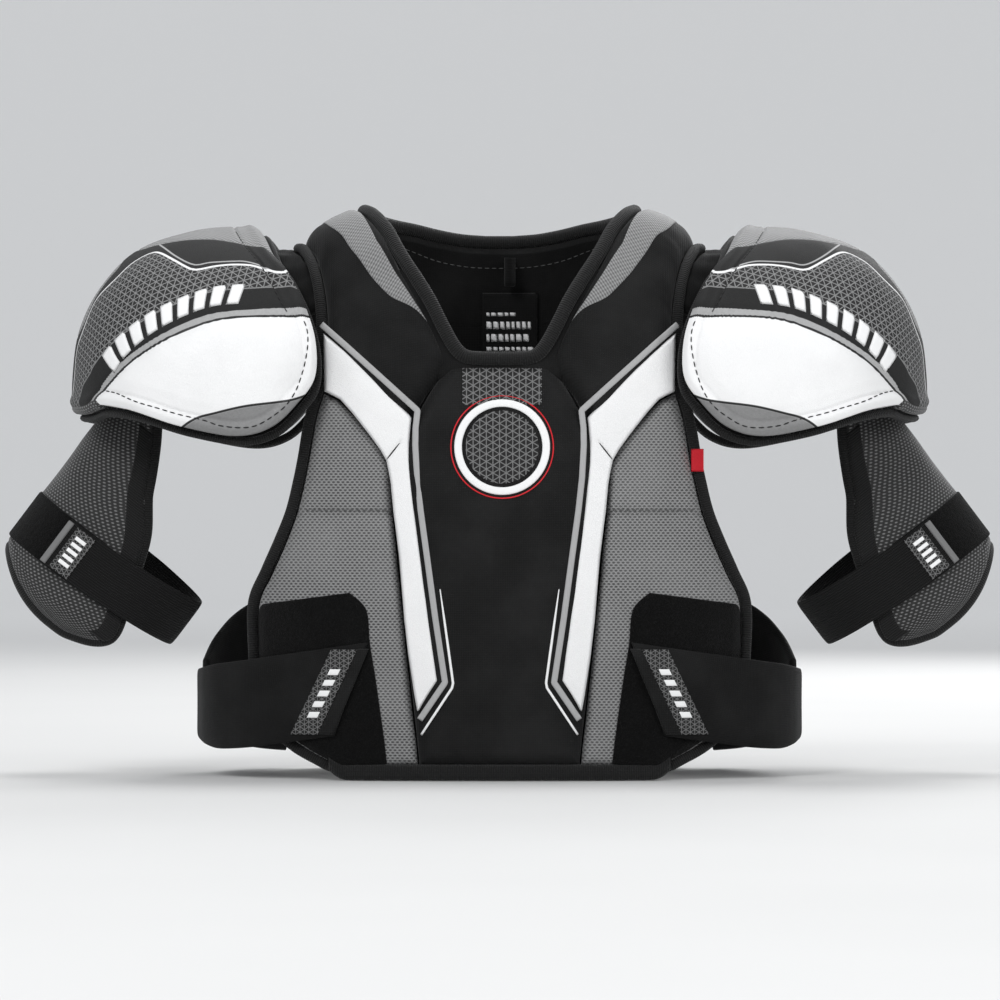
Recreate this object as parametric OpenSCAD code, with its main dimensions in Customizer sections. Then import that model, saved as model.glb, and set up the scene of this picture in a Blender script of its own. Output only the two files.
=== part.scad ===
// Ice hockey shoulder pads, upright on their bottom hems.
// +Z up, the wearer faces -Y, the wearer's left is +X. Origin: on the floor, below the centre.

/* [Torso shell] */
// Half width at which the torso shell would close at the side
torso_w = 185; // [183:1:190]
// Half depth of the inside of the chest and back at the centre line
torso_d = 104; // [102:1:106]
// Height of the inside of the shoulder line above the neck centre
shoulder_z = 387; // [386:0.5:388]
// How square the side view of the shoulder arch is
arch_q = 3.6; // [3.4:0.1:3.8]
// How much the bottom hem pulls in, as a share of the depth
hem_taper = 0.07; // [0.05:0.01:0.08]

/* [Layers] */
// Thickness of the chest and back foam
foam_t = 8; // [7:0.5:8]
// Thickness of the side foam
side_foam_t = 7; // [6:0.5:7]
// Thickness of the shoulder yoke foam
yoke_foam_t = 9.4; // [8:0.2:10]
// Thickness of the hard plastic inserts
plate_t = 1.8; // [1.5:0.1:2]
// Thickness of the face fabric
cover_t = 1.2; // [0.8:0.1:1.2]
// Radius of the sewn edge bindings
binding_r = 3.5; // [3:0.1:3.5]

/* [Shoulder caps] */
// Half width of the cap dome
cap_a = 112; // [110:0.5:113]
// Half depth of the cap dome, front to back
cap_b = 120; // [119:0.5:122]
// Height of the cap dome above its centre
cap_c = 112; // [111:0.5:113]
// Thickness of the cap's foam
cap_foam_t = 8; // [7:0.5:8]

/* [Arm guards] */
// Outward lean of the arm guards from vertical
arm_lean = 37; // [36:0.5:38]
// Half width of the arm oval on its outer side
arm_hn = 51; // [50:0.5:53]
// Half width of the arm oval on its inner side
arm_hi = 58; // [56:0.5:60]
// Half depth of the arm oval
arm_hy = 36; // [34:0.5:37]
// Thickness of the arm guard foam
arm_foam_t = 6; // [5:0.5:6]

/* [Straps] */
// Thickness of the waist straps
belly_strap_t = 3; // [2:0.5:3]
// Thickness of the arm straps
arm_strap_t = 2.4; // [2:0.2:2.4]

/* [Hidden] */
$fn = 32;
gap = 0.3;

// ---- curves and surfaces ----
function pw(b, e) = b <= 0 ? 0 : pow(b, e);
function sgn(v) = v < 0 ? -1 : 1;
function sx(x) = pw(1 - pw(abs(x) / torso_w, 2.5), 0.4);
function top_z(x) = shoulder_z - 0.003677 * pow(abs(x), 1.9);
function taper(z) = 1 - hem_taper * pow(max(0, (230 - z) / 230), 2);
function depth(x, z) = torso_d * sx(x) * taper(z);
// a point on the torso shell, o outside its inner face: side -1 is the chest, +1 the back
function wall(x, z, o, side) = [x, side * (depth(x, z) + o) * pw(1 - pw(z / (top_z(x) + o), arch_q), 1 / arch_q), z];
// a point on the shoulder arch: p runs from 0 at the chest hem over 90 at the top to 180 at the back hem
function arch(x, p, o) = [x, -sgn(cos(p)) * (depth(x, 230) + o) * pw(abs(cos(p)), 2 / arch_q), (top_z(x) + o) * pw(sin(p), 2 / arch_q)];

function at(c, t) = let (k = t * (len(c) - 1), i = min(floor(k), len(c) - 2), f = k - i) c[i] * (1 - f) + c[i + 1] * f;
function grid(A, B, n, m) = [for (i = [0:n]) [for (j = [0:m]) at(A, i / n) * (1 - j / m) + at(B, i / n) * j / m]];
function unit(v) = v / norm(v);

// closed solid between two grids of points; flip turns it the right way out
module slab(G, H, flip = false) {
  nr = len(G); nc = len(G[0]); N = nr * nc;
  pts = concat([for (r = G) each r], [for (r = H) each r]);
  function q4(a, b, c, d) = flip ? [[a, c, b], [a, d, c]] : [[a, b, c], [a, c, d]];
  faces = concat(
    [for (r = [0:nr - 2], c = [0:nc - 2]) each q4(r * nc + c, r * nc + c + 1, (r + 1) * nc + c + 1, (r + 1) * nc + c)],
    [for (r = [0:nr - 2], c = [0:nc - 2]) each q4(N + r * nc + c, N + (r + 1) * nc + c, N + (r + 1) * nc + c + 1, N + r * nc + c + 1)],
    [for (c = [0:nc - 2]) each q4(c, N + c, N + c + 1, c + 1)],
    [for (c = [0:nc - 2]) each q4((nr - 1) * nc + c, (nr - 1) * nc + c + 1, N + (nr - 1) * nc + c + 1, N + (nr - 1) * nc + c)],
    [for (r = [0:nr - 2]) each q4(r * nc, (r + 1) * nc, N + (r + 1) * nc, N + r * nc)],
    [for (r = [0:nr - 2]) each q4(r * nc + nc - 1, N + r * nc + nc - 1, N + (r + 1) * nc + nc - 1, (r + 1) * nc + nc - 1)]);
  polyhedron(points = pts, faces = faces);
}

// sheet on the chest (side -1) or back (+1) between edge curves A and B of [x, z] points, from o0 to o1
module wall_sheet(A, B, n, m, o0, o1, side) {
  g = grid(A, B, n, m);
  slab([for (r = g) [for (p = r) wall(p[0], p[1], o1, side)]], [for (r = g) [for (p = r) wall(p[0], p[1], o0, side)]], side < 0);
}
// sheet on the shoulder arch between edge curves of [p, x] points, rows of T = [p, xa, xb]
module arch_sheet(T, n, m, o0, o1) {
  g = grid([for (t = T) [t[1], t[0]]], [for (t = T) [t[2], t[0]]], n, m);
  slab([for (r = g) [for (p = r) arch(p[0], p[1], o1)]], [for (r = g) [for (p = r) arch(p[0], p[1], o0)]], true);
}
// round tube of radius r along points P, k sides; loop joins its ends
module tube(P, r, k = 6, loop = false, up = [0, 1, 0]) {
  n = len(P);
  function tan_at(i) = unit(loop ? P[(i + 1) % n] - P[(i + n - 1) % n] : i == 0 ? P[1] - P[0] : i == n - 1 ? P[i] - P[i - 1] : P[i + 1] - P[i - 1]);
  function side_at(i) = let (t = tan_at(i), c = cross(t, up)) norm(c) < 0.2 ? unit(cross(t, [1, 0, 0.3])) : unit(c);
  rings = [for (i = [0:n - 1]) let (t = tan_at(i), a = side_at(i), b = cross(t, a)) for (j = [0:k - 1]) P[i] + r * (cos(360 * j / k) * a + sin(360 * j / k) * b)];
  last = loop ? n - 1 : n - 2;
  sides = [for (i = [0:last], j = [0:k - 1]) let (a = i * k + j, b = i * k + (j + 1) % k, c = ((i + 1) % n) * k + (j + 1) % k, d = ((i + 1) % n) * k + j) each [[a, c, b], [a, d, c]]];
  ends = loop ? [] : concat([for (j = [1:k - 2]) [0, j, j + 1]], [for (j = [1:k - 2]) [(n - 1) * k, (n - 1) * k + j + 1, (n - 1) * k + j]]);
  polyhedron(points = rings, faces = concat(sides, ends));
}
module both() { children(); mirror([1, 0, 0]) children(); }
module right() { mirror([1, 0, 0]) children(); }

// ---- outlines, x and z in mm, for the wearer's left half ----
// chest centre panel: half width at each height
CENTRE = [[52.4, 10], [54, 28], [57.4, 59], [61.6, 100], [66.2, 147], [68.8, 175], [73.2, 206], [63, 223], [53, 240], [44, 254], [36, 263.5], [30, 267.5]];
// chest side panel: inner and outer edge
SIDE_IN = [[53.2, 10], [54.4, 24], [56.4, 40], [58.4, 60], [61, 85], [63.8, 115], [66, 135], [67.8, 155], [69.8, 175], [72, 193], [74.5, 204], [85, 218], [97, 231], [109, 243.5]];
SIDE_OUT = [[104, 10], [128, 24], [148, 40], [156, 60], [158, 85], [158, 115], [149, 135], [140, 155], [132.5, 175], [127.5, 195], [124.5, 210], [122, 225], [119, 240], [116, 250]];
// liner of the chest and back: half width at each height
LINER = [[95, 4], [124, 20], [146, 36], [156, 58], [159, 85], [159, 116], [150, 136], [141, 156], [133, 177], [128, 197], [124, 215], [118, 235], [80, 246], [35, 262]];
BACK_LINER = [[95, 4], [124, 20], [146, 36], [156, 58], [159, 85], [159, 116], [150, 136], [141, 156], [133, 177], [128, 197], [124, 215], [118, 240], [112, 256], [59, 272], [58, 300], [52, 348]];
// back centre panel and back side panel
BACK_C = [[60, 10], [58, 100], [57, 200], [58, 280], [58, 320], [57, 344], [50, 352]];
BACK_IN = [[61, 10], [60.6, 24], [60.2, 40], [59.6, 60], [59, 90], [58.8, 115], [58.6, 135], [58.4, 155], [58.2, 180], [58.4, 210], [58.8, 240], [60.5, 275]];
BACK_OUT = [[104, 10], [128, 24], [148, 40], [156, 60], [158, 90], [158, 115], [149, 135], [140, 155], [131.5, 180], [125, 210], [119, 240], [112.5, 260]];
// shoulder yoke: arch angle, neck edge, outer edge
YOKE = [[20.3, 74.5, 77.5], [22.5, 65, 83], [25, 57, 92], [28, 48, 103], [31.3, 36, 112], [35, 40, 112.5], [40, 50, 112.5], [47.4, 63.5, 113],
  [52, 71.5, 114], [58, 78.8, 116], [64, 84, 118.5], [70, 89.5, 121], [77, 95, 125], [84, 99, 129], [90, 100.5, 130], [97, 98.5, 129],
  [105, 90, 125], [112, 78, 121], [117, 67, 118], [122, 62, 116], [132, 61.5, 114], [145, 60.5, 113]];
YOKE_PLATE = [[52, 82, 107], [58, 88, 109], [64, 93, 111.5], [70, 98, 114], [77, 102, 118], [84, 105, 121], [90, 106, 122], [97, 104, 121], [105, 97, 117], [112, 86, 113]];
// neck opening, arch angle and x, from the chest centre over the shoulder to the back centre
NECK = [[31.6, 0], [31.7, 12], [32.2, 23], [34, 30.5], [38, 40], [42.5, 48.5], [47.6, 58], [53, 67], [58.2, 73.3], [64, 78.5], [70, 84], [77, 89.5], [84, 93.5], [90, 94.5], [97, 92], [104, 83.5], [110, 72], [114.8, 57], [118.6, 42], [121.2, 26], [122.4, 10]];

o_foam = 1.8; o_plate = o_foam + foam_t + gap; o_cover = o_plate + plate_t + gap; o_face = o_cover + cover_t;
o_side = o_foam + side_foam_t + gap; o_side_face = o_side + cover_t;
o_yplate = yoke_foam_t + 0.3; o_ycover = o_yplate + plate_t + 0.6; o_yface = o_ycover + cover_t;

function mir(c) = [for (p = c) [-p[0], p[1]]];
function narrow(c, d) = [for (p = c) [p[0] - d, p[1]]];

// ---- chest ----
module chest_liner() { color("#161616") wall_sheet(mir(LINER), LINER, 13, 8, 0, 0.8, -1); }
module chest_foam() { color("#3a3a3c") wall_sheet(mir(CENTRE), CENTRE, 13, 6, o_foam, o_foam + foam_t, -1); }
module sternum_plate() { color("#d8d8d4") wall_sheet([[-36, 70], [-42, 110], [-50, 180], [-40, 220]], [[36, 70], [42, 110], [50, 180], [40, 220]], 6, 4, o_plate, o_plate + plate_t, -1); }
module chest_cover() { color("#1b1b1c") wall_sheet(mir(CENTRE), CENTRE, 14, 8, o_cover, o_face, -1); }
STRIPE_OUT = [[54, 44], [57.5, 62], [61.5, 100], [66, 147], [68.6, 175], [72, 204], [58, 226]];
STRIPE_IN = [[52, 41], [40, 64], [44.5, 100], [51, 147], [54, 175], [57.6, 206], [57, 224]];
module chest_stripes() { color("#f2f2f2") both() wall_sheet(STRIPE_IN, STRIPE_OUT, 12, 2, o_face + gap, o_face + gap + 0.6, -1); }
module chest_badge() {
  // flat ring and centre disc standing on the chest face
  color("#f2f2f2") translate([0, -wall(0, 218, o_face, 1)[1] - 1, 218.7]) rotate([90 - 1.5, 0, 0]) {
    difference() { cylinder(r = 31.6, h = 0.8, $fn = 64); translate([0, 0, -1]) cylinder(r = 25.8, h = 4, $fn = 64); }
    cylinder(r = 17, h = 0.6, $fn = 64);
  }
}
module side_foam() { color("#3a3a3c") wall_sheet(SIDE_IN, narrow(SIDE_OUT, 1.8), 13, 4, o_foam, o_foam + side_foam_t - 0.3, -1); }
module side_cover() { color("#77787a") wall_sheet(SIDE_IN, SIDE_OUT, 13, 4, o_side, o_side_face, -1); }
module chest_side_foams() { both() side_foam(); }
module left_chest_side_cover() { side_cover(); }
module right_chest_side_cover() { right() side_cover(); }
module belly_loop_patches() {
  color("#0e0e0e") both() wall_sheet([[73.5, 11], [77, 40], [81, 68], [84.5, 90], [87, 112], [98, 123]], [[103, 11], [145, 40], [156, 66], [157, 90], [157, 112], [150, 116]], 6, 4, o_side_face + 0.8, o_side_face + 1.8, -1);
}

// ---- shoulder yokes ----
module yoke_foam() { color("#3a3a3c") arch_sheet(YOKE, 21, 3, 1.8, yoke_foam_t); }
module yoke_plate() { color("#d8d8d4") arch_sheet(YOKE_PLATE, 9, 2, o_yplate + 0.5, o_yplate + plate_t - 0.1); }
module yoke_cover() { color("#1b1b1c") arch_sheet(YOKE, 21, 3, o_ycover, o_yface); }
module left_yoke_foam() { yoke_foam(); }
module right_yoke_foam() { right() yoke_foam(); }
module yoke_plates() { both() yoke_plate(); }
module left_yoke_cover() { yoke_cover(); }
module right_yoke_cover() { right() yoke_cover(); }
// white lower panel of each yoke
module yoke_wings() {
  color("#f2f2f2") both() arch_sheet([[21, 74, 78.5], [23, 66, 85], [25.5, 61, 94], [28.5, 65, 105], [31.5, 73, 111.5], [35, 86, 111.5], [39, 97, 111.5], [42.5, 107, 111.5]], 8, 3, o_yface + gap, o_yface + gap + 0.6);
}

// ---- bindings ----
neck_half = [for (p = NECK) arch(p[1], p[0], 6.5)];
module neck_binding() {
  n = len(neck_half);
  P = concat([for (p = neck_half) p], [for (i = [n - 1:-1:1]) [-neck_half[i][0], neck_half[i][1], neck_half[i][2]]]);
  color("#161616") tube(P, 4.2, 6, true, [0, 0.3, 1]);
}
ARM_F = [[118, 12.6], [135.5, 22.4], [153.3, 38.6], [160.2, 60], [162.3, 85], [162.3, 116], [153.6, 137], [144.6, 157], [137, 176], [132, 196], [128.8, 212], [126.2, 228], [123, 243], [119, 256]];
ARM_B = [[118, 12.6], [135.5, 22.4], [153.3, 38.6], [160.2, 60], [162.3, 85], [162.3, 116], [153.6, 137], [144.6, 157], [136, 180], [129.6, 210], [123.6, 240], [118.4, 262]];
ARM_TOP = [[38, 116.8], [47, 117.2], [56, 119.6], [66, 124], [77, 129.4], [84, 133.4], [90, 134.4], [97, 133.4], [107, 128.6], [118, 122.4], [130, 118.8], [142, 117.4]];
module armhole_binding() {
  P = concat([for (p = ARM_F) wall(p[0], p[1], 5, -1)], [for (p = ARM_TOP) arch(p[1], p[0], 5)], [for (i = [len(ARM_B) - 1:-1:0]) wall(ARM_B[i][0], ARM_B[i][1], 5, 1)]);
  color("#161616") tube(P, binding_r, 6, false, [1, 0, 0.1]);
}
module left_armhole_binding() { armhole_binding(); }
module right_armhole_binding() { right() armhole_binding(); }
// bottom hems: folded tape with a flat underside
module hem(side) {
  xs = [for (x = [-104:13:104]) x];
  pts = concat([for (x = xs) [x, wall(x, 4, o_side_face + 1.5, side)[1]]], [for (i = [len(xs) - 1:-1:0]) [xs[i], wall(xs[i], 4, 1.5, side)[1]]]);
  color("#161616") linear_extrude(height = 9) polygon(side < 0 ? pts : pts);
}
module hem_bindings() {
  hem(-1);
  hem(1);
}

// ---- back ----
module back_liner() { color("#101010") wall_sheet(mir(BACK_LINER), BACK_LINER, 15, 8, 0, 0.8, 1); }
module back_foam() { color("#3a3a3c") wall_sheet(mir(BACK_C), BACK_C, 12, 6, o_foam, o_foam + foam_t, 1); }
module spine_plate() { color("#d8d8d4") wall_sheet([[-34, 60], [-36, 150], [-40, 230], [-42, 310]], [[34, 60], [36, 150], [40, 230], [42, 310]], 10, 4, o_plate, o_plate + plate_t, 1); }
module back_cover() { color("#1b1b1c") wall_sheet(mir(BACK_C), BACK_C, 14, 8, o_cover, o_face, 1); }
module back_side_pad() { color("#1b1b1c") wall_sheet(BACK_IN, narrow(BACK_OUT, 1.8), 11, 5, o_foam + 0.4, o_side_face, 1); }
module left_back_side_pad() { back_side_pad(); }
module right_back_side_pad() { right() back_side_pad(); }
// side wing: plan points with bottom and top heights, outer face
WING = [[148, 92.5, 12, 120], [158, 86, 13, 118], [168, 77, 14.5, 115], [177, 66, 17, 110], [185, 53, 20, 103], [191.5, 39, 23, 95], [196.5, 25, 27, 86], [200, 10, 32, 77]];
function wing_in(i, t) = let (a = WING[max(i - 1, 0)], b = WING[min(i + 1, len(WING) - 1)], d = unit([b[0] - a[0], b[1] - a[1]])) [WING[i][0] + d[1] * t, WING[i][1] - d[0] * t];
module back_wing() {
  color("#161616") slab([for (i = [0:7]) [for (k = [0:2]) [WING[i][0], WING[i][1], WING[i][2] + (WING[i][3] - WING[i][2]) * k / 2]]],
    [for (i = [0:7]) let (w = wing_in(i, 5)) [for (k = [0:2]) [w[0], w[1], WING[i][2] + (WING[i][3] - WING[i][2]) * k / 2]]], true);
}
module left_back_wing() { back_wing(); }
module right_back_wing() { right() back_wing(); }
// hanging loop and size label inside the back of the neck, and the side tag
module hang_loop() {
  color("#161616") translate([3, 70.5, 333.5]) rotate([90, 0, 90]) difference() {
    linear_extrude(height = 8) union() { circle(r = 4.4); translate([-4.4, 0]) square([8.8, 15]); }
    translate([0, 0, -1]) linear_extrude(height = 10) union() { circle(r = 3.2); translate([-3.2, 0]) square([6.4, 13.8]); }
  }
}
module size_label() { color("#e8e8e8") wall_sheet([[-12, 281], [-12, 326]], [[26, 281], [26, 326]], 4, 3, -2.9, -2.3, 1); }
module side_tag() { color("#c8101c") translate([131.8, wall(129, 206, 4, -1)[1] - 5.2, 202]) rotate([0, 0, -55]) translate([-1, -7, 0]) cube([1.2, 9, 15]); }

// ---- shoulder caps ----
cap_centre = [172, 0, 252];
// rim of the cap's front half, x and z
RIM = [[162, 364], [151.5, 350], [139, 333], [126.5, 309], [120, 286], [120.5, 263], [131, 247], [148, 231], [171, 225], [206, 231], [240, 242], [262, 246], [273, 243]];
cap_p2 = 2.45;
function cap_u(x, z) = let (a = (x - cap_centre[0]) / 110, c = (z - cap_centre[2]) / 112) unit([a * 110, -120 * pw(1 - pw(abs(a), cap_p2) - pw(abs(c), cap_p2), 1 / cap_p2), c * 112]);
rim_front = [for (p = RIM) cap_u(p[0], p[1])];
rim_loop = concat([unit([-0.085, 0, 0.996])], [for (i = [1:len(RIM) - 1]) rim_front[i]], [unit([1, 0, -0.07])], [for (i = [len(RIM) - 1:-1:1]) [rim_front[i][0], -rim_front[i][1], rim_front[i][2]]]);
cap_pole = unit([0.45, 0, 0.62]);
function cap_p(u, t) = cap_centre + u / pow(pow(abs(u[0]) / (cap_a - t), cap_p2) + pow(abs(u[1]) / (cap_b - t), cap_p2) + pow(abs(u[2]) / (cap_c - t), cap_p2), 1 / cap_p2);
function cap_ring(v) = [for (u = rim_loop) unit(cap_pole * (1 - v) + u * v)];
// closed dome between depths t0 and t1 under the outer face
module dome(t0, t1, rings = 5) {
  n = len(rim_loop); R = [for (i = [1:rings]) cap_ring(i / rings)];
  outer = concat([cap_p(cap_pole, t0)], [for (r = R) each [for (u = r) cap_p(u, t0)]]);
  inner = concat([cap_p(cap_pole, t1)], [for (r = R) each [for (u = r) cap_p(u, t1)]]);
  N = len(outer);
  function id(i, j) = 1 + i * n + (j % n);
  faces = concat(
    [for (j = [0:n - 1]) [0, id(0, j + 1), id(0, j)]],
    [for (i = [0:rings - 2], j = [0:n - 1]) each [[id(i, j), id(i + 1, j + 1), id(i + 1, j)], [id(i, j), id(i, j + 1), id(i + 1, j + 1)]]],
    [for (j = [0:n - 1]) [N, N + id(0, j), N + id(0, j + 1)]],
    [for (i = [0:rings - 2], j = [0:n - 1]) each [[N + id(i, j), N + id(i + 1, j), N + id(i + 1, j + 1)], [N + id(i, j), N + id(i + 1, j + 1), N + id(i, j + 1)]]],
    [for (j = [0:n - 1]) each [[id(rings - 1, j), N + id(rings - 1, j + 1), N + id(rings - 1, j)], [id(rings - 1, j), id(rings - 1, j + 1), N + id(rings - 1, j + 1)]]]);
  polyhedron(points = concat(outer, inner), faces = faces);
}
module cap_cover() { color("#f4f4f4") dome(0, 1.2); }
module cap_shell() { color("#d8d8d4") dome(1.5, 3.5); }
module cap_liner() { color("#161616") dome(3.8, 3.8 + cap_foam_t); }
module cap_binding() {
  P = [for (u = rim_loop) let (t = unit((u - cap_pole) - u * ((u - cap_pole) * u))) cap_p(unit(u + 0.0585 * t), 7.5)];
  color("#161616") tube(P, 2.6, 6, true, [0.3, 0.1, 1]);
}
// padded fabric bridge from the yoke's edge to the cap: arch angle, inner x, outer x
BRIDGE = [[50, 122.5, 126.4], [58, 125.5, 134.6], [66, 130, 142], [74, 135, 147.4], [82, 139, 150.6], [90, 140, 153.2], [98, 139, 150.6], [106, 135, 147.4], [114, 130, 142], [122, 125.5, 134.6], [130, 122.5, 126.4]];
module cap_bridge() {
  g = grid([for (t = BRIDGE) [t[1], t[0]]], [for (t = BRIDGE) [t[2], t[0]]], 10, 3);
  color("#161616") slab([for (r = g) [for (p = r) arch(p[0], p[1], 6 + max(0, p[0] - 138) * 0.62)]], [for (r = g) [for (p = r) arch(p[0], p[1], 1 + max(0, p[0] - 138) * 0.62)]], true);
}
module left_cap_bridge() { cap_bridge(); }
module right_cap_bridge() { right() cap_bridge(); }
module left_cap_cover() { cap_cover(); }
module right_cap_cover() { right() cap_cover(); }
module left_cap_shell() { cap_shell(); }
module right_cap_shell() { right() cap_shell(); }
module left_cap_liner() { cap_liner(); }
module right_cap_liner() { right() cap_liner(); }
module left_cap_binding() { cap_binding(); }
module right_cap_binding() { right() cap_binding(); }

// ---- arm guards ----
arm_a = [sin(arm_lean), 0, -cos(arm_lean)];
arm_n = [cos(arm_lean), 0, sin(arm_lean)];
arm_o = [216.7, 0, 206];
// point on the arm oval: s down the arm, w round it from 0 outside to 90 front, o out from the inner face
function arm_p(s, w, o) = let (cw = cos(w), sw = sin(w), h = (cw > 0 ? arm_hn : arm_hi) + o)
  arm_o + s * arm_a + h * sgn(cw) * pw(abs(cw), 0.9) * arm_n + [0, -(arm_hy + o) * sgn(sw) * pw(abs(sw), 0.9), 0];
// rows of the guard: s, front edge angle, back edge angle
GUARD = [[-24, 58, -18], [-12, 68, -36], [0, 76, -52], [15, 84, -68], [31, 91, -82], [47, 100, -95], [63, 106, -100], [79, 111, -101], [95, 117, -101], [110, 122, -100], [118, 121, -97], [125, 112, -88], [131, 96, -74]];
function guard_grid(n, m, o, d) = [for (i = [0:n]) let (r = at(GUARD, i / n)) [for (j = [0:m]) let (w = (r[1] - d) * (1 - j / m) + (r[2] + d) * j / m) arm_p(r[0] * (1 - 0.1 * pow(max(0, cos(w)), 2)), w, o)]];
module guard_sheet(o0, o1, n, m, d = 0) { slab(guard_grid(n, m, o1, d), guard_grid(n, m, o0, d)); }
// elastic web that hangs the guard from the cap's liner, as points of its middle line
HANG = [arm_o + 8 * arm_a + 45.6 * arm_n, arm_o - 10 * arm_a + 45.6 * arm_n, arm_o - 28 * arm_a + 45.6 * arm_n, [247, 0, 269], [259, 0, 274], [263.4, 0, 284], [262.2, 0, 296]];
module arm_hanger() {
  n = len(HANG);
  function d(i) = unit(HANG[min(i + 1, n - 1)] - HANG[max(i - 1, 0)]);
  pts = concat([for (i = [0:n - 1]) HANG[i] + [d(i)[2], 0, -d(i)[0]]], [for (i = [n - 1:-1:0]) HANG[i] - [d(i)[2], 0, -d(i)[0]]]);
  color("#141415") translate([0, 13, 0]) rotate([90, 0, 0]) linear_extrude(height = 26) polygon([for (q = pts) [q[0], q[2]]]);
}
module left_arm_hanger() { arm_hanger(); }
module right_arm_hanger() { right() arm_hanger(); }
module arm_guard_pad() { color("#1b1b1c") guard_sheet(0, arm_foam_t, 12, 13); }
module arm_guard_plate() {
  function g(o) = [for (i = [0:4]) [for (j = [0:8]) arm_p(14 + i * 20, 60 - j * 14, o)]];
  color("#d8d8d4") slab(g(arm_foam_t + 1.9), g(arm_foam_t + 0.8));
}
module arm_guard_cover() { color("#333335") guard_sheet(arm_foam_t + 2.6, arm_foam_t + 3.6, 12, 13, 0.5); }
o_patch = arm_foam_t + 4.3;
module arm_loop_patch() {
  function g(o) = [for (i = [0:2]) [for (j = [0:8]) arm_p(67.5 + i * 18, 88 - j * 13, o)]];
  color("#0e0e0e") slab(g(o_patch + 0.9), g(o_patch));
}
o_strap = o_patch + 1.5;
// strap stations from the tab on the guard's front to the fold and back to its root: w or [n, y], with the strap's middle height s
STRAP_W = [[36, 86], [52, 86], [68, 86], [84, 85.5], [98, 85]];
STRAP_FREE = [[-24, -48.5, 84], [-38, -44.5, 83], [-52, -35, 82], [-63, -21, 81], [-69, -4, 80], [-67, 12, 79], [-59, 26, 78], [-46, 36.5, 77], [-31, 41.3, 76], [-17, 42.2, 75.5]];
function free_n(i) = let (a = STRAP_FREE[max(i - 1, 0)], b = STRAP_FREE[min(i + 1, len(STRAP_FREE) - 1)]) unit([b[0] - a[0], b[1] - a[1]]);
function strap_row(h, o) = concat(
  [for (p = STRAP_W) arm_p(p[1] + h, p[0], o_strap + o)],
  [for (i = [0:len(STRAP_FREE) - 1]) let (f = STRAP_FREE[i], d = free_n(i)) arm_o + (f[2] + h) * arm_a + (f[0] + d[1] * (arm_strap_t - o)) * arm_n + [0, f[1] - d[0] * (arm_strap_t - o), 0]]);
// the arm strap's hinge line runs along the arm through n, y
arm_root = [-17, 41];
module arm_strap() {
  color("#141415") slab([strap_row(17.5, arm_strap_t), strap_row(0, arm_strap_t), strap_row(-17.5, arm_strap_t)], [strap_row(17.5, 0), strap_row(0, 0), strap_row(-17.5, 0)]);
  color("#141415") translate(arm_o + 56 * arm_a + arm_root[0] * arm_n + [0, arm_root[1], 0]) rotate([0, 180 - arm_lean, 0]) cylinder(r = 2, h = 39);
}
module arm_strap_label() {
  function g(o) = [for (i = [0:2]) [for (j = [0:3]) arm_p(70.5 + i * 15.5, 44 + j * 6.5, o)]];
  color("#2a2a2b") slab(g(o_strap + arm_strap_t + 0.9), g(o_strap + arm_strap_t + gap), true);
}
module left_arm_guard_pad() { arm_guard_pad(); }
module right_arm_guard_pad() { right() arm_guard_pad(); }
module left_arm_guard_plate() { arm_guard_plate(); }
module right_arm_guard_plate() { right() arm_guard_plate(); }
module left_arm_guard_cover() { arm_guard_cover(); }
module right_arm_guard_cover() { right() arm_guard_cover(); }
module left_arm_loop_patch() { arm_loop_patch(); }
module right_arm_loop_patch() { right() arm_loop_patch(); }
module left_arm_strap() { arm_strap(); }
module right_arm_strap() { right() arm_strap(); }
module left_arm_strap_label() { arm_strap_label(); }
module right_arm_strap_label() { right() arm_strap_label(); }

// ---- waist straps ----
o_bstrap = o_side_face + gap + 1.5 + 0.8;
// stations on the chest: x at the bottom edge, x at the top edge
BELLY_W = [[108, 86], [119, 96], [130, 110], [141, 126], [150, 142]];
BELLY_FREE = [[162.4, -77.9], [176, -66.5], [188, -51.5], [196.5, -34], [201, -16], [202.5, -5], [202.6, 1.4]];
function belly_bot(x) = 47.5 + (184 - x) * 0.15 - 29.5 + (x > 170 ? (x - 170) * 0.1 : 0);
function belly_top(x) = 47.5 + (184 - x) * 0.15 + 28.5;
function belly_d(i) = let (a = BELLY_FREE[max(i - 1, 0)], b = BELLY_FREE[min(i + 1, len(BELLY_FREE) - 1)]) unit([b[0] - a[0], b[1] - a[1]]);
function belly_row(k, o) = concat(
  [for (p = BELLY_W) let (x = p[0] * (1 - k) + p[1] * k, z = belly_bot(p[0]) * (1 - k) + belly_top(p[1]) * k) wall(x, z, o_bstrap + o, -1)],
  [for (i = [0:len(BELLY_FREE) - 1]) let (f = BELLY_FREE[i], d = belly_d(i), z = belly_bot(f[0]) * (1 - k) + belly_top(f[0]) * k) [f[0] - d[1] * 0 + d[1] * (o - belly_strap_t), f[1] - d[0] * (o - belly_strap_t), z]]);
belly_hinge = [200.6, 1.4];
module belly_strap() {
  color("#141415") slab([for (k = [0:2]) belly_row(k / 2, belly_strap_t)], [for (k = [0:2]) belly_row(k / 2, 0)], true);
  color("#141415") translate([belly_hinge[0], belly_hinge[1], 22]) cylinder(r = 2.2, h = 50);
}
module belly_strap_label() {
  function g(o) = [for (k = [0:2]) [for (j = [0:3]) let (x = (137 - j * 6) * (1 - k / 2) + (110 - j * 5.8) * k / 2, z = 30 * (1 - k / 2) + 85 * k / 2) wall(x, z, o, -1)]];
  color("#2a2a2b") slab(g(o_bstrap + belly_strap_t + 0.9), g(o_bstrap + belly_strap_t + gap));
}
module left_belly_strap() { belly_strap(); }
module right_belly_strap() { right() belly_strap(); }
module left_belly_strap_label() { belly_strap_label(); }
module right_belly_strap_label() { right() belly_strap_label(); }

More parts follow.
